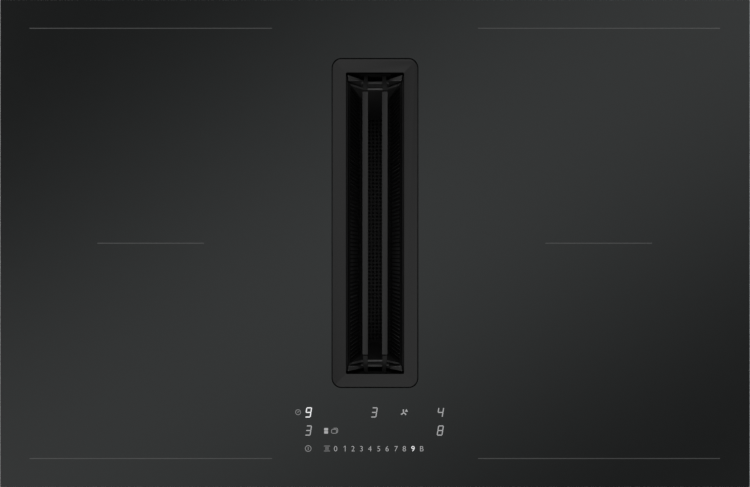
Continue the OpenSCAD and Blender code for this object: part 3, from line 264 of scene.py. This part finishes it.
def finish_material(name, effect, dark, light, rough, bump=0.0, metallic=0.0, inputs=None,
                    shader=None):
    """Principled material whose tone, gloss and relief follow one of the effect groups."""
    made = bpy.data.materials.new(name)
    made.use_nodes = True
    tree = made.node_tree
    principled = tree.nodes["Principled BSDF"]
    principled.inputs["Metallic"].default_value = metallic
    for key, value in (shader or {}).items():
        principled.inputs[key].default_value = value
    group = add_node(tree, "ShaderNodeGroup")
    group.node_tree = GROUPS[effect]
    for key, value in (inputs or {}).items():
        group.inputs[key].default_value = value
    blend = add_node(tree, "ShaderNodeMix", data_type="RGBA")
    blend.inputs[6].default_value = (*dark, 1)
    blend.inputs[7].default_value = (*light, 1)
    tree.links.new(group.outputs["Mask"], blend.inputs[0])
    tree.links.new(blend.outputs[2], principled.inputs["Base Color"])
    tree.links.new(remap(tree, group.outputs["Mask"], 0.0, 1.0, rough[0], rough[1]),
                   principled.inputs["Roughness"])
    if bump:
        relief = add_node(tree, "ShaderNodeBump")
        relief.inputs["Strength"].default_value = 1.0
        relief.inputs["Distance"].default_value = bump
        tree.links.new(group.outputs["Height"], relief.inputs["Height"])
        tree.links.new(relief.outputs[0], principled.inputs["Normal"])
    return made


LIT_TINT = (0.97, 0.98, 1.0, 1.0)


def lit_material(name, tone, strength):
    """Lit mark behind the glass: its own light, with a fine grain in its tone."""
    made = finish_material(name, "grain", grey(tone * 0.9), grey(tone), (0.25, 0.35))
    principled = made.node_tree.nodes["Principled BSDF"]
    principled.inputs["Emission Color"].default_value = LIT_TINT
    principled.inputs["Emission Strength"].default_value = strength
    return made


GLASS_TINT = (0.94, 1.0, 1.0, 1.0)
MATERIALS = {
    "glass_ceramic": finish_material(
        "black_glass", "haze", (0.0040, 0.0044, 0.0044), (0.0052, 0.0056, 0.0056),
        (0.06, 0.12), shader={"IOR": 1.52, "Specular Tint": GLASS_TINT}),
    "glass_edge": finish_material(
        "ground_edge", "grain", (0.018, 0.019, 0.019), (0.024, 0.025, 0.025), (0.5, 0.6),
        shader={"Specular IOR Level": 0.08}),
    "seal_rubber": finish_material(
        "seal_rubber", "grain", grey(0.015), grey(0.03), (0.7, 0.85), 0.05 * MM,
        inputs={"Fine": 1500.0}),
    "sheet_steel": finish_material(
        "zinc_steel", "spangle", (0.46, 0.47, 0.49), (0.58, 0.59, 0.6), (0.34, 0.46),
        0.02 * MM, metallic=1.0),
    "black_plastic": finish_material(
        "black_plastic", "grain", (0.018, 0.018, 0.019), (0.03, 0.03, 0.031), (0.42, 0.58),
        0.06 * MM, inputs={"Fine": 1300.0}),
    "grille_black": finish_material(
        "grille_coating", "grain", (0.010, 0.010, 0.0101), (0.012, 0.012, 0.0121),
        (0.3, 0.38), 0.01 * MM, inputs={"Fine": 2600.0, "Patch": 5.0},
        shader={"Specular IOR Level": 0.4}),
    "filter_black": finish_material(
        "filter_coating", "grain", (0.0050, 0.0050, 0.0052), (0.0070, 0.0070, 0.0072),
        (0.34, 0.46), 0.02 * MM, inputs={"Fine": 2200.0}, shader={"Specular IOR Level": 0.25}),
    "wire_mesh": finish_material(
        "wire_mesh", "wire", grey(0.05), (0.55, 0.55, 0.56), (0.3, 0.5), 0.6 * MM,
        metallic=1.0),
    "fan_plastic": finish_material(
        "fan_plastic", "grain", (0.10, 0.10, 0.105), (0.14, 0.14, 0.145), (0.4, 0.55),
        0.04 * MM, inputs={"Fine": 1200.0}),
    "motor_steel": finish_material(
        "drawn_steel", "brushed", (0.4, 0.4, 0.42), (0.58, 0.58, 0.6), (0.25, 0.4),
        0.01 * MM, metallic=1.0),
    "stator_iron": finish_material(
        "stator_iron", "brushed", (0.16, 0.13, 0.11), (0.28, 0.22, 0.18), (0.45, 0.6),
        0.05 * MM, metallic=0.8, inputs={"Across": 300.0}),
    "bright_steel": finish_material(
        "bright_steel", "brushed", (0.55, 0.55, 0.56), (0.72, 0.72, 0.73), (0.18, 0.3),
        0.005 * MM, metallic=1.0),
    "litz_wire": finish_material(
        "litz_wire", "strands", (0.22, 0.09, 0.035), (0.62, 0.32, 0.14), (0.28, 0.42),
        0.25 * MM, metallic=0.9),
    "carrier_plastic": finish_material(
        "carrier_plastic", "grain", (0.52, 0.51, 0.46), (0.66, 0.65, 0.6), (0.5, 0.62),
        0.03 * MM),
    "ferrite": finish_material(
        "ferrite", "grain", (0.03, 0.03, 0.032), (0.06, 0.06, 0.062), (0.6, 0.75),
        0.04 * MM),
    "aluminium": finish_material(
        "mill_aluminium", "brushed", (0.62, 0.63, 0.64), (0.78, 0.79, 0.8), (0.28, 0.42),
        0.008 * MM, metallic=1.0),
    "fibre_mat": finish_material(
        "fibre_mat", "grain", (0.6, 0.58, 0.53), (0.8, 0.78, 0.73), (0.85, 0.95),
        0.3 * MM, inputs={"Fine": 700.0}),
    "circuit_board": finish_material(
        "circuit_board", "tracks", (0.012, 0.075, 0.035), (0.03, 0.16, 0.07), (0.3, 0.42),
        0.02 * MM),
    "light_guide": finish_material(
        "light_guide", "grain", grey(0.6), grey(0.7), (0.35, 0.5), 0.02 * MM),
    "terminal_plastic": finish_material(
        "terminal_plastic", "grain", (0.5, 0.5, 0.46), (0.62, 0.62, 0.58), (0.4, 0.55),
        0.03 * MM),
    "print_grey": finish_material(
        "print_grey", "grain", (0.085, 0.087, 0.087), (0.1, 0.102, 0.102), (0.3, 0.4)),
    "mark_bright": lit_material("mark_bright", 0.5, 0.66),
    "mark_clear": lit_material("mark_clear", 0.3, 0.23),
    "mark_soft": lit_material("mark_soft", 0.16, 0.14),
}

# Neutral dark coatings, some of them with painted shade or painted light and highlights in their
# tones: their tones, roughness, depth of relief in millimetres, fineness of the grain and
# specular level
COATINGS_AND_PAINTED_LIGHT = {
    # Painted shade: the bezel's walls down into the inlet, near black where shade falls
    "inlet_wall_painted_shade": (0.0015, 0.0025, (0.6, 0.7), 0.01, 2600.0, 0.08),
    # Painted highlights on the filter's rims and flat tops, and painted light on its webs
    "filter_rim_painted_highlight": (0.034, 0.042, (0.28, 0.36), 0.01, 2200.0, 0.8),
    "filter_flat_painted_highlight": (0.072, 0.085, (0.35, 0.42), 0.01, 2200.0, 0.3),
    "filter_web_painted_light": (0.010, 0.013, (0.42, 0.5), 0.01, 2200.0, 0.3),
    # Painted light on the liner and the frame's end faces, painted highlight on the liner's flat
    # tops
    "liner_painted_light": (0.046, 0.056, (0.42, 0.5), 0.02, 2200.0, 0.3),
    "liner_edge_painted_highlight": (0.23, 0.26, (0.35, 0.42), 0.01, 2200.0, 0.5),
    "rib_coating": (0.0120, 0.0150, (0.55, 0.65), 0.02, 2200.0, 0.1),
    "screen_coating": (0.0072, 0.0088, (0.4, 0.5), 0.02, 2200.0, 0.2),
    "leg_coating": (0.010, 0.012, (0.46, 0.54), 0.01, 2600.0, 0.16),
}
for label, (dark, light, rough, relief, fine, specular) in COATINGS_AND_PAINTED_LIGHT.items():
    MATERIALS[label] = finish_material(
        label, "grain", grey(dark), grey(light), rough, relief * MM, inputs={"Fine": fine},
        shader={"Specular IOR Level": specular})


def paint(piece, slot):
    piece.data.materials.clear()
    piece.data.materials.append(MATERIALS[slot])


# Every carried-over node gets the finish of its slot in the record
SLOT_OF = {row["node"]: row["material_slot"] for row in frame["record"]["subparts"]}
for node_name, node_object in frame["nodes"].items():
    paint(node_object, SLOT_OF[node_name])


# Mesh helpers

def new_piece(name, bm, slot, body="root"):
    """Object at the origin from a finished bmesh, with its finish and its body."""
    mesh = bpy.data.meshes.new(name)
    bm.normal_update()
    bm.to_mesh(mesh)
    bm.free()
    piece = bpy.data.objects.new(name, mesh)
    bpy.context.scene.collection.objects.link(piece)
    paint(piece, slot)
    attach(piece, body)
    return piece


BODY_OF = {node: body for body, nodes in frame["record"]["behaviour"]["bodies"].items()
           for node in nodes}
# Edges bent more than SHARP are rounded, and rounded ones bent less than SMOOTH are shaded smooth
SHARP = math.radians(28)
SMOOTH = math.radians(35)
COPLANAR = math.radians(0.4)
MERGE_DISTANCE = 0.002 * MM
CRISP_WIDTH = 0.12 * MM


def round_edges(bm, width, segments, wanted):
    """Round the sharp edges whose middle passes the test."""
    edges = [e for e in bm.edges if e.is_manifold and e.calc_face_angle(0.0) > SHARP
             and wanted((e.verts[0].co + e.verts[1].co) / 2)]
    bmesh.ops.bevel(bm, geom=edges, offset=width, offset_type="OFFSET", segments=segments,
                    profile=0.5, affect="EDGES", clamp_overlap=True, material=-1)


def eased(node_name, width, segments=2, crisp=None, finish=None, accents=()):
    """Copy of a CAD node with its sharp edges rounded a little, which replaces the node.

    Edges whose middle passes the test crisp stay nearly sharp. Each accent is a finish with the
    test that a face's middle and normal pass to get it."""
    node_object = frame["nodes"][node_name]
    bm = bmesh.new()
    bm.from_mesh(node_object.data)
    bmesh.ops.remove_doubles(bm, verts=bm.verts, dist=MERGE_DISTANCE)
    bmesh.ops.dissolve_limit(bm, angle_limit=COPLANAR, verts=bm.verts, edges=bm.edges)
    if crisp:
        round_edges(bm, CRISP_WIDTH, 1, crisp)
    round_edges(bm, width, segments, lambda middle: not (crisp and crisp(middle)))
    for face in bm.faces:
        face.smooth = True
    slot = SLOT_OF[node_name]
    piece = new_piece(node_name + "_finished", bm, finish or slot, BODY_OF[node_name])
    piece.data.set_sharp_from_angle(angle=SMOOTH)
    for index, (accent, accented) in enumerate(accents, start=1):
        piece.data.materials.append(MATERIALS[accent])
        for polygon in piece.data.polygons:
            if accented(polygon.center, polygon.normal):
                polygon.material_index = index
    weighted = piece.modifiers.new("weighted", "WEIGHTED_NORMAL")
    weighted.keep_sharp = True
    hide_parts(node_name)
    return piece


# How far the edges of each node are rounded, in millimetres
EASED_EDGES = {
    "bar_left": 0.25, "bar_right": 0.25, "hob_tray": 0.25, "inlet_collar": 0.4, "inlet_well": 0.5,
    "case_upper": 0.7, "base_pan": 0.7, "scroll_lower": 0.4, "scroll_upper": 0.3,
    "outlet_spigot": 0.4, "flap_left": 0.2, "flap_right": 0.2, "terminal_box": 0.6,
    "terminal_lid": 0.5, "cable_gland": 0.4, "coil_plate_left": 0.25, "coil_plate_right": 0.25,
    "heatsinks": 0.15, "touch_carrier": 0.3, "terminal_block": 0.3, "light_guide": 0.2,
    "housing_screws": 0.15, "cooling_fan_frames": 0.4, "motor_base": 0.3, "motor_rotor": 0.4,
}
for node_name, width in EASED_EDGES.items():
    eased(node_name, width * MM)


# The inlet: how far its opening reaches from its middle, and where the filter's rims begin
bezel_low, bezel_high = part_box("grille_bezel")
filter_low, filter_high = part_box("filter_frame")
INLET_Y = (bezel_low[1] + bezel_high[1]) / 2
BEZEL_FACE = 15 * MM
SIDE_MARGIN = 2 * MM
END_MARGIN = 3 * MM
RIM_DEPTH = 8 * MM
OPENING_X = bezel_high[0] - BEZEL_FACE + SIDE_MARGIN
OPENING_Y = (bezel_high[1] - bezel_low[1]) / 2 - BEZEL_FACE + END_MARGIN
RIM_FROM = (filter_high[1] - filter_low[1]) / 2 - RIM_DEPTH

# Faces are told apart by the upward part of their normal, and by where they lie, to place painted
# light and shade
WALL_SLOPE = 0.4
RIM_SLOPE = 0.3
FLAT_SLOPE = 0.95
WEB_FROM = 13 * MM
WEB_TILT = 0.15
FACING = 0.7
EDGE_REACH = 1.5 * MM
EDGE_SLOPE = 0.98


def is_glass_edge(place, normal):
    """Ground bevels and rounded rims round the outside of the glass."""
    outside = (abs(place.x) > glass_high[0] - EDGE_REACH
               or abs(place.y) > glass_high[1] - EDGE_REACH)
    return outside and abs(normal.z) < EDGE_SLOPE


def in_opening(place):
    return abs(place.x) < OPENING_X and abs(place.y - INLET_Y) < OPENING_Y


def is_inlet_wall(place, normal):
    return in_opening(place) and normal.z < WALL_SLOPE


def is_rim(place, normal):
    return normal.z > RIM_SLOPE and abs(place.y - INLET_Y) > RIM_FROM


def is_flat(place, normal):
    return normal.z > FLAT_SLOPE and is_rim(place, normal)


def is_web(place, normal):
    return (normal.z < FLAT_SLOPE and abs(normal.y) < WEB_TILT and abs(place.x) > WEB_FROM
            and is_rim(place, normal))


def is_end_face(place, normal):
    """Upright face of an end wall that looks to the inlet's middle."""
    along = place.y - INLET_Y
    return abs(along) > RIM_FROM and normal.y * along < -FACING * abs(along)


eased("glass_top", 0.3 * MM, accents=[("glass_edge", is_glass_edge)])
# The bezel's walls down into the inlet get a near-black painted shade
eased("grille_bezel", 0.45 * MM, 3, in_opening, accents=[("inlet_wall_painted_shade", is_inlet_wall)])
eased("grille_carrier", 0.4 * MM, finish="leg_coating")
# Painted light on the frame's end faces and webs, painted highlights on its rims and flat tops
eased("filter_frame", 0.3 * MM,
      accents=[("liner_painted_light", is_end_face), ("filter_rim_painted_highlight", is_rim), ("filter_flat_painted_highlight", is_flat),
               ("filter_web_painted_light", is_web)])
# The liner is painted lighter as light on its end plates, with painted highlights on its rims
eased("filter_liner", 0.3 * MM, finish="liner_painted_light",
      accents=[("filter_flat_painted_highlight", is_rim), ("liner_edge_painted_highlight", is_flat)])
eased("filter_screen", 0.1 * MM, finish="screen_coating")
eased("drip_tray", 0.5 * MM, finish="filter_black")
for louvre in ("louvre_left", "louvre_right"):
    paint(frame["nodes"][louvre], "rib_coating")


# Printed lines and lit marks on the glass

def flat_shape(bm, points):
    """Thin raised shape on the glass from its outline, in metres."""
    z_top = TOP + PRINT_PROUD
    verts = [bm.verts.new((x, y, z_top)) for x, y in points]
    face = bm.faces.new(verts)
    face.normal_update()
    if face.normal.z < 0:
        face.normal_flip()
    grown = bmesh.ops.extrude_face_region(bm, geom=[face], use_keep_orig=True)
    lower = [v for v in grown["geom"] if isinstance(v, bmesh.types.BMVert)]
    bmesh.ops.translate(bm, verts=lower, vec=(0, 0, -PRINT_PROUD - PRINT_DEPTH))
    for part in grown["geom"]:
        if isinstance(part, bmesh.types.BMFace):
            part.normal_flip()
    bmesh.ops.recalc_face_normals(bm, faces=bm.faces)


def rectangle(cx, cy, w, h):
    return [(cx - w / 2, cy - h / 2), (cx + w / 2, cy - h / 2),
            (cx + w / 2, cy + h / 2), (cx - w / 2, cy + h / 2)]


LINE_T = 0.9 * MM
LINE_ENDS_LEFT = (29.5, 272.0)
LINE_ENDS_RIGHT = (478.0, 720.0)
LINE_ROWS = (28.3, 458.5)
MID_ENDS_LEFT = (97.5, 204.0)
MID_ENDS_RIGHT = (545.5, 652.0)
MID_ROW = 243.2


def zone_lines():
    """Thin printed lines at the ends and in the middle of each cooking zone."""
    bm = bmesh.new()
    runs = [(ends, row) for row in LINE_ROWS for ends in (LINE_ENDS_LEFT, LINE_ENDS_RIGHT)]
    runs += [(MID_ENDS_LEFT, MID_ROW), (MID_ENDS_RIGHT, MID_ROW)]
    for (start, end), row in runs:
        x0, y = at_pixel(start, row)
        x1, y = at_pixel(end, row)
        flat_shape(bm, rectangle((x0 + x1) / 2, y, x1 - x0, LINE_T))
    new_piece("zone_lines", bm, "print_grey")


zone_lines()

# Seven-segment digits: each segment's ends as shares of the digit's half width and half height
SEGMENTS = {
    "a": ((-1, 1), (1, 1)), "b": ((1, 1), (1, 0)), "c": ((1, 0), (1, -1)),
    "d": ((-1, -1), (1, -1)), "e": ((-1, 0), (-1, -1)), "f": ((-1, 1), (-1, 0)),
    "g": ((-1, 0), (1, 0)),
}
LIT_SEGMENTS = {"3": "abcdg", "4": "bcfg", "8": "abcdefg", "9": "abcdfg"}
DIGIT_W = 5.1 * MM
DIGIT_H = 9.8 * MM
SEGMENT_T = 1.08 * MM
SEGMENT_GAP = 0.12 * MM
SEGMENT_POINT = 0.35 * MM
DIGIT_SLANT = 0.16


def seven_segment(bm, digit, px, py):
    """Slanted digit whose segments have bluntly pointed ends."""
    cx, cy = at_pixel(px, py)
    for key in LIT_SEGMENTS[digit]:
        (ax, ay), (bx, by) = SEGMENTS[key]
        start = Vector((ax * DIGIT_W / 2, ay * DIGIT_H / 2))
        end = Vector((bx * DIGIT_W / 2, by * DIGIT_H / 2))
        along = (end - start).normalized()
        side = Vector((-along.y, along.x)) * SEGMENT_T / 2
        start += along * SEGMENT_GAP
        end -= along * SEGMENT_GAP
        tip = along * SEGMENT_POINT
        outline = [start - side / 2, start + tip - side, end - tip - side, end - side / 2,
                   end + side / 2, end - tip + side, start + tip + side, start + side / 2]
        flat_shape(bm, [(cx + p.x + p.y * DIGIT_SLANT, cy + p.y) for p in outline])


def ring_shape(bm, cx, cy, radius, thickness, steps=28):
    """Ring in short flat pieces."""
    inner = radius - thickness / 2
    outer = radius + thickness / 2
    for i in range(steps):
        a0 = math.radians(360 * i / steps)
        a1 = math.radians(360 * (i + 1) / steps)
        flat_shape(bm, [(cx + inner * math.cos(a0), cy + inner * math.sin(a0)),
                        (cx + outer * math.cos(a0), cy + outer * math.sin(a0)),
                        (cx + outer * math.cos(a1), cy + outer * math.sin(a1)),
                        (cx + inner * math.cos(a1), cy + inner * math.sin(a1))])


def stroke(bm, x0, y0, x1, y1, thickness):
    """Straight band between two points."""
    along = Vector((x1 - x0, y1 - y0)).normalized()
    side = Vector((-along.y, along.x)) * thickness / 2
    flat_shape(bm, [(x0 + side.x, y0 + side.y), (x0 - side.x, y0 - side.y),
                    (x1 - side.x, y1 - side.y), (x1 + side.x, y1 + side.y)])


def rounded_box(cx, cy, w, h, r, steps=4):
    points = []
    for corner, (sx, sy) in enumerate(((1, 1), (-1, 1), (-1, -1), (1, -1))):
        for i in range(steps + 1):
            a = math.radians(90 * (corner + i / steps))
            points.append((cx + sx * (w / 2 - r) + r * math.cos(a),
                           cy + sy * (h / 2 - r) + r * math.sin(a)))
    return points


# Centres of the marks in the photograph
NINE_PX = (308.5, 412.4)
THREE_REAR_PX = (374.2, 412.4)
FOUR_PX = (440.5, 412.4)
THREE_FRONT_PX = (308.4, 430.5)
EIGHT_PX = (440.3, 430.5)
CLOCK_PX = (298.1, 412.2)
FAN_PX = (403.65, 412.65)
BRIDGE_PX = (326.1, 430.8)
PAN_PX = (334.5, 430.8)
POWER_PX = (308.2, 448.5)
WARM_PX = (327.0, 448.5)
SCALE_PX = (335.6, 344.8, 353.0, 361.5, 369.9, 378.8, 387.1, 396.0, 404.3, 413.0, 421.6)
SCALE_ROW = 448.5
SCALE_MARKS = "0123456789B"

# Thickness of the strokes and the shortest one drawn, then the symbols' sizes, and their points
# from their centres, in millimetres
ICON_T = 0.75 * MM
CLOCK_T = 0.6 * MM
WARM_T = 0.6 * MM
WAVE_T = WARM_T * 0.7
SHORTEST_STROKE = 0.01 * MM
FAN_ARM_T = 1.2 * MM
CLOCK_R = 2.7
CLOCK_HANDS = ((1.4, 1.4), (-1.2, 0.0))
POWER_R = 3.1
POWER_BAR = ((0.0, -1.6), (0.0, 1.6))
FAN_ANGLES = (100, 219, 323)
FAN_ARM = 2.6
FAN_BLADE = ((0.0, 0.5), (0.0, -1.1), (0.9, -0.7), (0.9, 0.3))
FAN_TRIANGLE = ((1.3, 1.1), (4.7, 0.9), (3.0, 4.0))
BRIDGE_HEIGHTS = (-1.62, 1.62)
BRIDGE_BOX = (4.2, 2.8)
BRIDGE_CORNER = 0.6
PAN_CENTRE = (-0.5, -0.5)
PAN_BOX = (5.3, 4.3)
PAN_CORNER = 1.2
PAN_BACK = ((-0.9, 2.8), (2.6, 2.8), (3.4, 2.0), (3.4, -1.0), (2.0, -2.6))
BAR_HALF = 3.2
BAR_HEIGHTS = (-2.65, 2.65)
WAVE_HALF = 1.9
WAVE_HEIGHTS = (-1.25, 0.0, 1.25)


def polyline(bm, centre_px, points, thickness):
    """Strokes through points given in millimetres from a mark's centre."""
    cx, cy = at_pixel(*centre_px)
    placed = [(cx + x * MM, cy + y * MM) for x, y in points]
    for start, end in zip(placed, placed[1:]):
        stroke(bm, *start, *end, thickness)


def clock_icon(bm):
    ring_shape(bm, *at_pixel(*CLOCK_PX), CLOCK_R * MM, CLOCK_T)
    for hand in CLOCK_HANDS:
        polyline(bm, CLOCK_PX, ((0.0, 0.0), hand), CLOCK_T)


def power_icon(bm):
    ring_shape(bm, *at_pixel(*POWER_PX), POWER_R * MM, ICON_T)
    polyline(bm, POWER_PX, POWER_BAR, ICON_T)


def fan_icon(bm):
    """Three blades that widen from a hub, with a small triangle at the upper right."""
    cx, cy = at_pixel(*FAN_PX)
    for angle in FAN_ANGLES:
        a = math.radians(angle)
        along = Vector((math.cos(a), math.sin(a)))
        side = Vector((-along.y, along.x))
        tip = Vector((cx, cy)) + along * FAN_ARM * MM
        stroke(bm, cx, cy, tip.x, tip.y, FAN_ARM_T)
        flat_shape(bm, [tip + (along * out + side * off) * MM for out, off in FAN_BLADE])
    flat_shape(bm, [(cx + x * MM, cy + y * MM) for x, y in FAN_TRIANGLE])


def bridge_icon(bm):
    cx, cy = at_pixel(*BRIDGE_PX)
    width, height = BRIDGE_BOX
    for level in BRIDGE_HEIGHTS:
        flat_shape(bm, rounded_box(cx, cy + level * MM, width * MM, height * MM,
                                   BRIDGE_CORNER * MM))


def pan_icon(bm):
    """Outline of a box seen from the side, with a second edge behind it."""
    cx, cy = at_pixel(*PAN_PX)
    shift_x, shift_y = PAN_CENTRE
    width, height = PAN_BOX
    outer = rounded_box(cx + shift_x * MM, cy + shift_y * MM, width * MM, height * MM,
                        PAN_CORNER * MM)
    for (ax, ay), (bx, by) in zip(outer, outer[1:] + outer[:1]):
        if math.hypot(bx - ax, by - ay) > SHORTEST_STROKE:
            stroke(bm, ax, ay, bx, by, ICON_T)
    polyline(bm, PAN_PX, PAN_BACK, ICON_T)


def warm_icon(bm):
    """Bars over and under three short strokes."""
    for heights, half, thickness in ((BAR_HEIGHTS, BAR_HALF, WARM_T),
                                     (WAVE_HEIGHTS, WAVE_HALF, WAVE_T)):
        for level in heights:
            polyline(bm, WARM_PX, ((-half, level), (half, level)), thickness)


CHAR_H = 6.0 * MM
FONT_CAP_SHARE = 0.729
SCALE_WEIGHT = -0.07 * MM
ONE_T = 0.65 * MM
ONE_FLAG_T = ONE_T * 0.8
ONE_STEM_X = 0.45 * MM
ONE_FLAG_W = 1.7 * MM
ONE_FLAG_DROP = 1.6 * MM


def one_mark(bm, px):
    """Figure one of the touch scale: a stem with a short flag."""
    cx, cy = at_pixel(px, SCALE_ROW)
    stem_x = cx + ONE_STEM_X
    top = cy + CHAR_H / 2
    stroke(bm, stem_x, cy - CHAR_H / 2, stem_x, top, ONE_T)
    stroke(bm, stem_x, top - ONE_T / 2, stem_x - ONE_FLAG_W, top - ONE_FLAG_DROP, ONE_FLAG_T)


def scale_character(bm, character, px, weight=0.0):
    """Plain character of the touch scale, from the built-in font."""
    curve = bpy.data.curves.new("character", "FONT")
    curve.body = character
    curve.size = CHAR_H / FONT_CAP_SHARE
    curve.align_x = "CENTER"
    curve.offset = weight
    curve.extrude = (PRINT_PROUD + PRINT_DEPTH) / 2
    curve.resolution_u = 4
    holder = bpy.data.objects.new("character", curve)
    bpy.context.scene.collection.objects.link(holder)
    bpy.context.view_layer.update()
    mesh = bpy.data.meshes.new_from_object(
        holder.evaluated_get(bpy.context.evaluated_depsgraph_get()))
    cx, cy = at_pixel(px, SCALE_ROW)
    z = TOP + (PRINT_PROUD - PRINT_DEPTH) / 2
    mesh.transform(Matrix.Translation((cx, cy - CHAR_H / 2, z)))
    bm.from_mesh(mesh)
    bpy.data.meshes.remove(mesh)
    bpy.data.objects.remove(holder)
    bpy.data.curves.remove(curve)


def lit_marks():
    """Number displays, symbols and the touch scale, in three strengths of light."""
    bright = bmesh.new()
    seven_segment(bright, "9", *NINE_PX)
    scale_character(bright, "9", SCALE_PX[9])
    new_piece("lit_marks_bright", bright, "mark_bright")

    clear = bmesh.new()
    for digit, place in (("3", THREE_REAR_PX), ("4", FOUR_PX), ("3", THREE_FRONT_PX),
                         ("8", EIGHT_PX)):
        seven_segment(clear, digit, *place)
    fan_icon(clear)
    bridge_icon(clear)
    for character, px in zip(SCALE_MARKS, SCALE_PX):
        if character == "1":
            one_mark(clear, px)
        elif character != "9":
            scale_character(clear, character, px, SCALE_WEIGHT)
    new_piece("lit_marks_clear", clear, "mark_clear")

    soft = bmesh.new()
    clock_icon(soft)
    pan_icon(soft)
    power_icon(soft)
    warm_icon(soft)
    new_piece("lit_marks_soft", soft, "mark_soft")


lit_marks()


# Floor, light and camera

FLOOR_R = 12.0
FLOOR_TONE = 0.72
FLOOR_DROP = 0.2 * MM
SKY_DARK = 0.187
SKY_LIGHT = 0.845
LIGHT_TURN = math.radians(34)
LIGHT_CENTRE = (-0.005, 0.021)
LIGHT_HALF_LENGTH = 2.94
LIGHT_HALF_WIDTH = 0.879
LOWEST_HEIGHT = 0.08
CAMERA_NEAR = 10 * MM

# Lamps: azimuth and elevation in degrees, distance, width and height in metres, radiance
LAMPS = {
    "lamp_left": (172, 24, 2.4, 1.6, 1.0, 2.6),
    "lamp_right": (10, 24, 2.4, 1.6, 1.0, 1.5),
    "lamp_front": (-80, 16, 2.6, 1.8, 0.8, 1.6),
    "lamp_rear": (95, 10, 2.6, 1.8, 0.6, 0.6),
}


def pale_floor():
    bm = bmesh.new()
    bmesh.ops.create_circle(bm, cap_ends=True, segments=96, radius=FLOOR_R)
    mesh = bpy.data.meshes.new("floor")
    bm.to_mesh(mesh)
    bm.free()
    floor = bpy.data.objects.new("floor", mesh)
    bpy.context.scene.collection.objects.link(floor)
    floor.location.z = cad_box[0][2] - FLOOR_DROP
    made = bpy.data.materials.new("pale_floor")
    made.use_nodes = True
    shader = made.node_tree.nodes["Principled BSDF"]
    shader.inputs["Base Color"].default_value = (*grey(FLOOR_TONE), 1)
    shader.inputs["Roughness"].default_value = 0.8
    shader.inputs["Specular IOR Level"].default_value = 0.2
    mesh.materials.append(made)


def soft_sky():
    """Dim studio sky with one long oval of soft light overhead, which the glass mirrors.

    The oval is laid out in slopes, east and north for each step up, and turned a little."""
    world = bpy.data.worlds.new("studio")
    bpy.context.scene.world = world
    world.use_nodes = True
    tree = world.node_tree
    background = tree.nodes["Background"]
    direction = add_node(tree, "ShaderNodeTexCoord").outputs["Generated"]
    parts = axes_of(tree, direction)
    height = maths(tree, "MAXIMUM", parts["Z"], LOWEST_HEIGHT)
    east, north = (
        maths(tree, "SUBTRACT", maths(tree, "DIVIDE", parts[axis], height), middle)
        for axis, middle in zip("XY", LIGHT_CENTRE))
    turned = []
    for first, second in ((math.cos(LIGHT_TURN), math.sin(LIGHT_TURN)),
                          (-math.sin(LIGHT_TURN), math.cos(LIGHT_TURN))):
        turned.append(maths(tree, "ADD", maths(tree, "MULTIPLY", east, first),
                            maths(tree, "MULTIPLY", north, second)))
    shares = [maths(tree, "ABSOLUTE", maths(tree, "DIVIDE", part, half))
              for part, half in zip(turned, (LIGHT_HALF_LENGTH, LIGHT_HALF_WIDTH))]
    squares = [maths(tree, "POWER", share, 2.0) for share in shares]
    reach = maths(tree, "SQRT", maths(tree, "ADD", *squares))
    curve = add_node(tree, "ShaderNodeValToRGB")
    curve.color_ramp.interpolation = "EASE"
    for stop, tone in zip(curve.color_ramp.elements, (SKY_LIGHT, SKY_DARK)):
        stop.color = (*grey(tone), 1)
    tree.links.new(reach, curve.inputs["Fac"])
    tree.links.new(curve.outputs["Color"], background.inputs["Color"])
    background.inputs["Strength"].default_value = 1.0


def soft_box(name, azimuth, elevation, distance, width, height, radiance):
    """Rectangular lamp at an angle above the horizon, turned to the object."""
    lamp = bpy.data.lights.new(name, "AREA")
    lamp.shape = "RECTANGLE"
    lamp.size = width
    lamp.size_y = height
    lamp.energy = radiance * math.pi * width * height
    holder = bpy.data.objects.new(name, lamp)
    bpy.context.scene.collection.objects.link(holder)
    a = math.radians(azimuth)
    e = math.radians(elevation)
    place = Vector((math.cos(e) * math.cos(a), math.cos(e) * math.sin(a), math.sin(e)))
    aim = Vector((0, 0, TOP))
    holder.location = aim + place * distance
    holder.rotation_euler = (-place).to_track_quat("-Z", "Y").to_euler()


def camera():
    """Camera above the glass, a little in front of its middle, shifted to frame all of it."""
    lens = bpy.data.cameras.new("camera")
    lens.sensor_width = SENSOR
    lens.lens = SENSOR * CAMERA_HEIGHT / (PHOTO_W * PIXEL)
    lens.clip_start = CAMERA_NEAR
    holder = bpy.data.objects.new("camera", lens)
    bpy.context.scene.collection.objects.link(holder)
    x, y = at_pixel(PHOTO_W / 2, PHOTO_H / 2)
    holder.location = (x, y - CAMERA_FRONT, TOP + CAMERA_HEIGHT)
    lens.shift_y = CAMERA_FRONT / (PHOTO_W * PIXEL)
    bpy.context.scene.camera = holder


pale_floor()
soft_sky()
for label, settings in LAMPS.items():
    soft_box(label, *settings)
camera()
bpy.context.scene.view_settings.view_transform = "Standard"
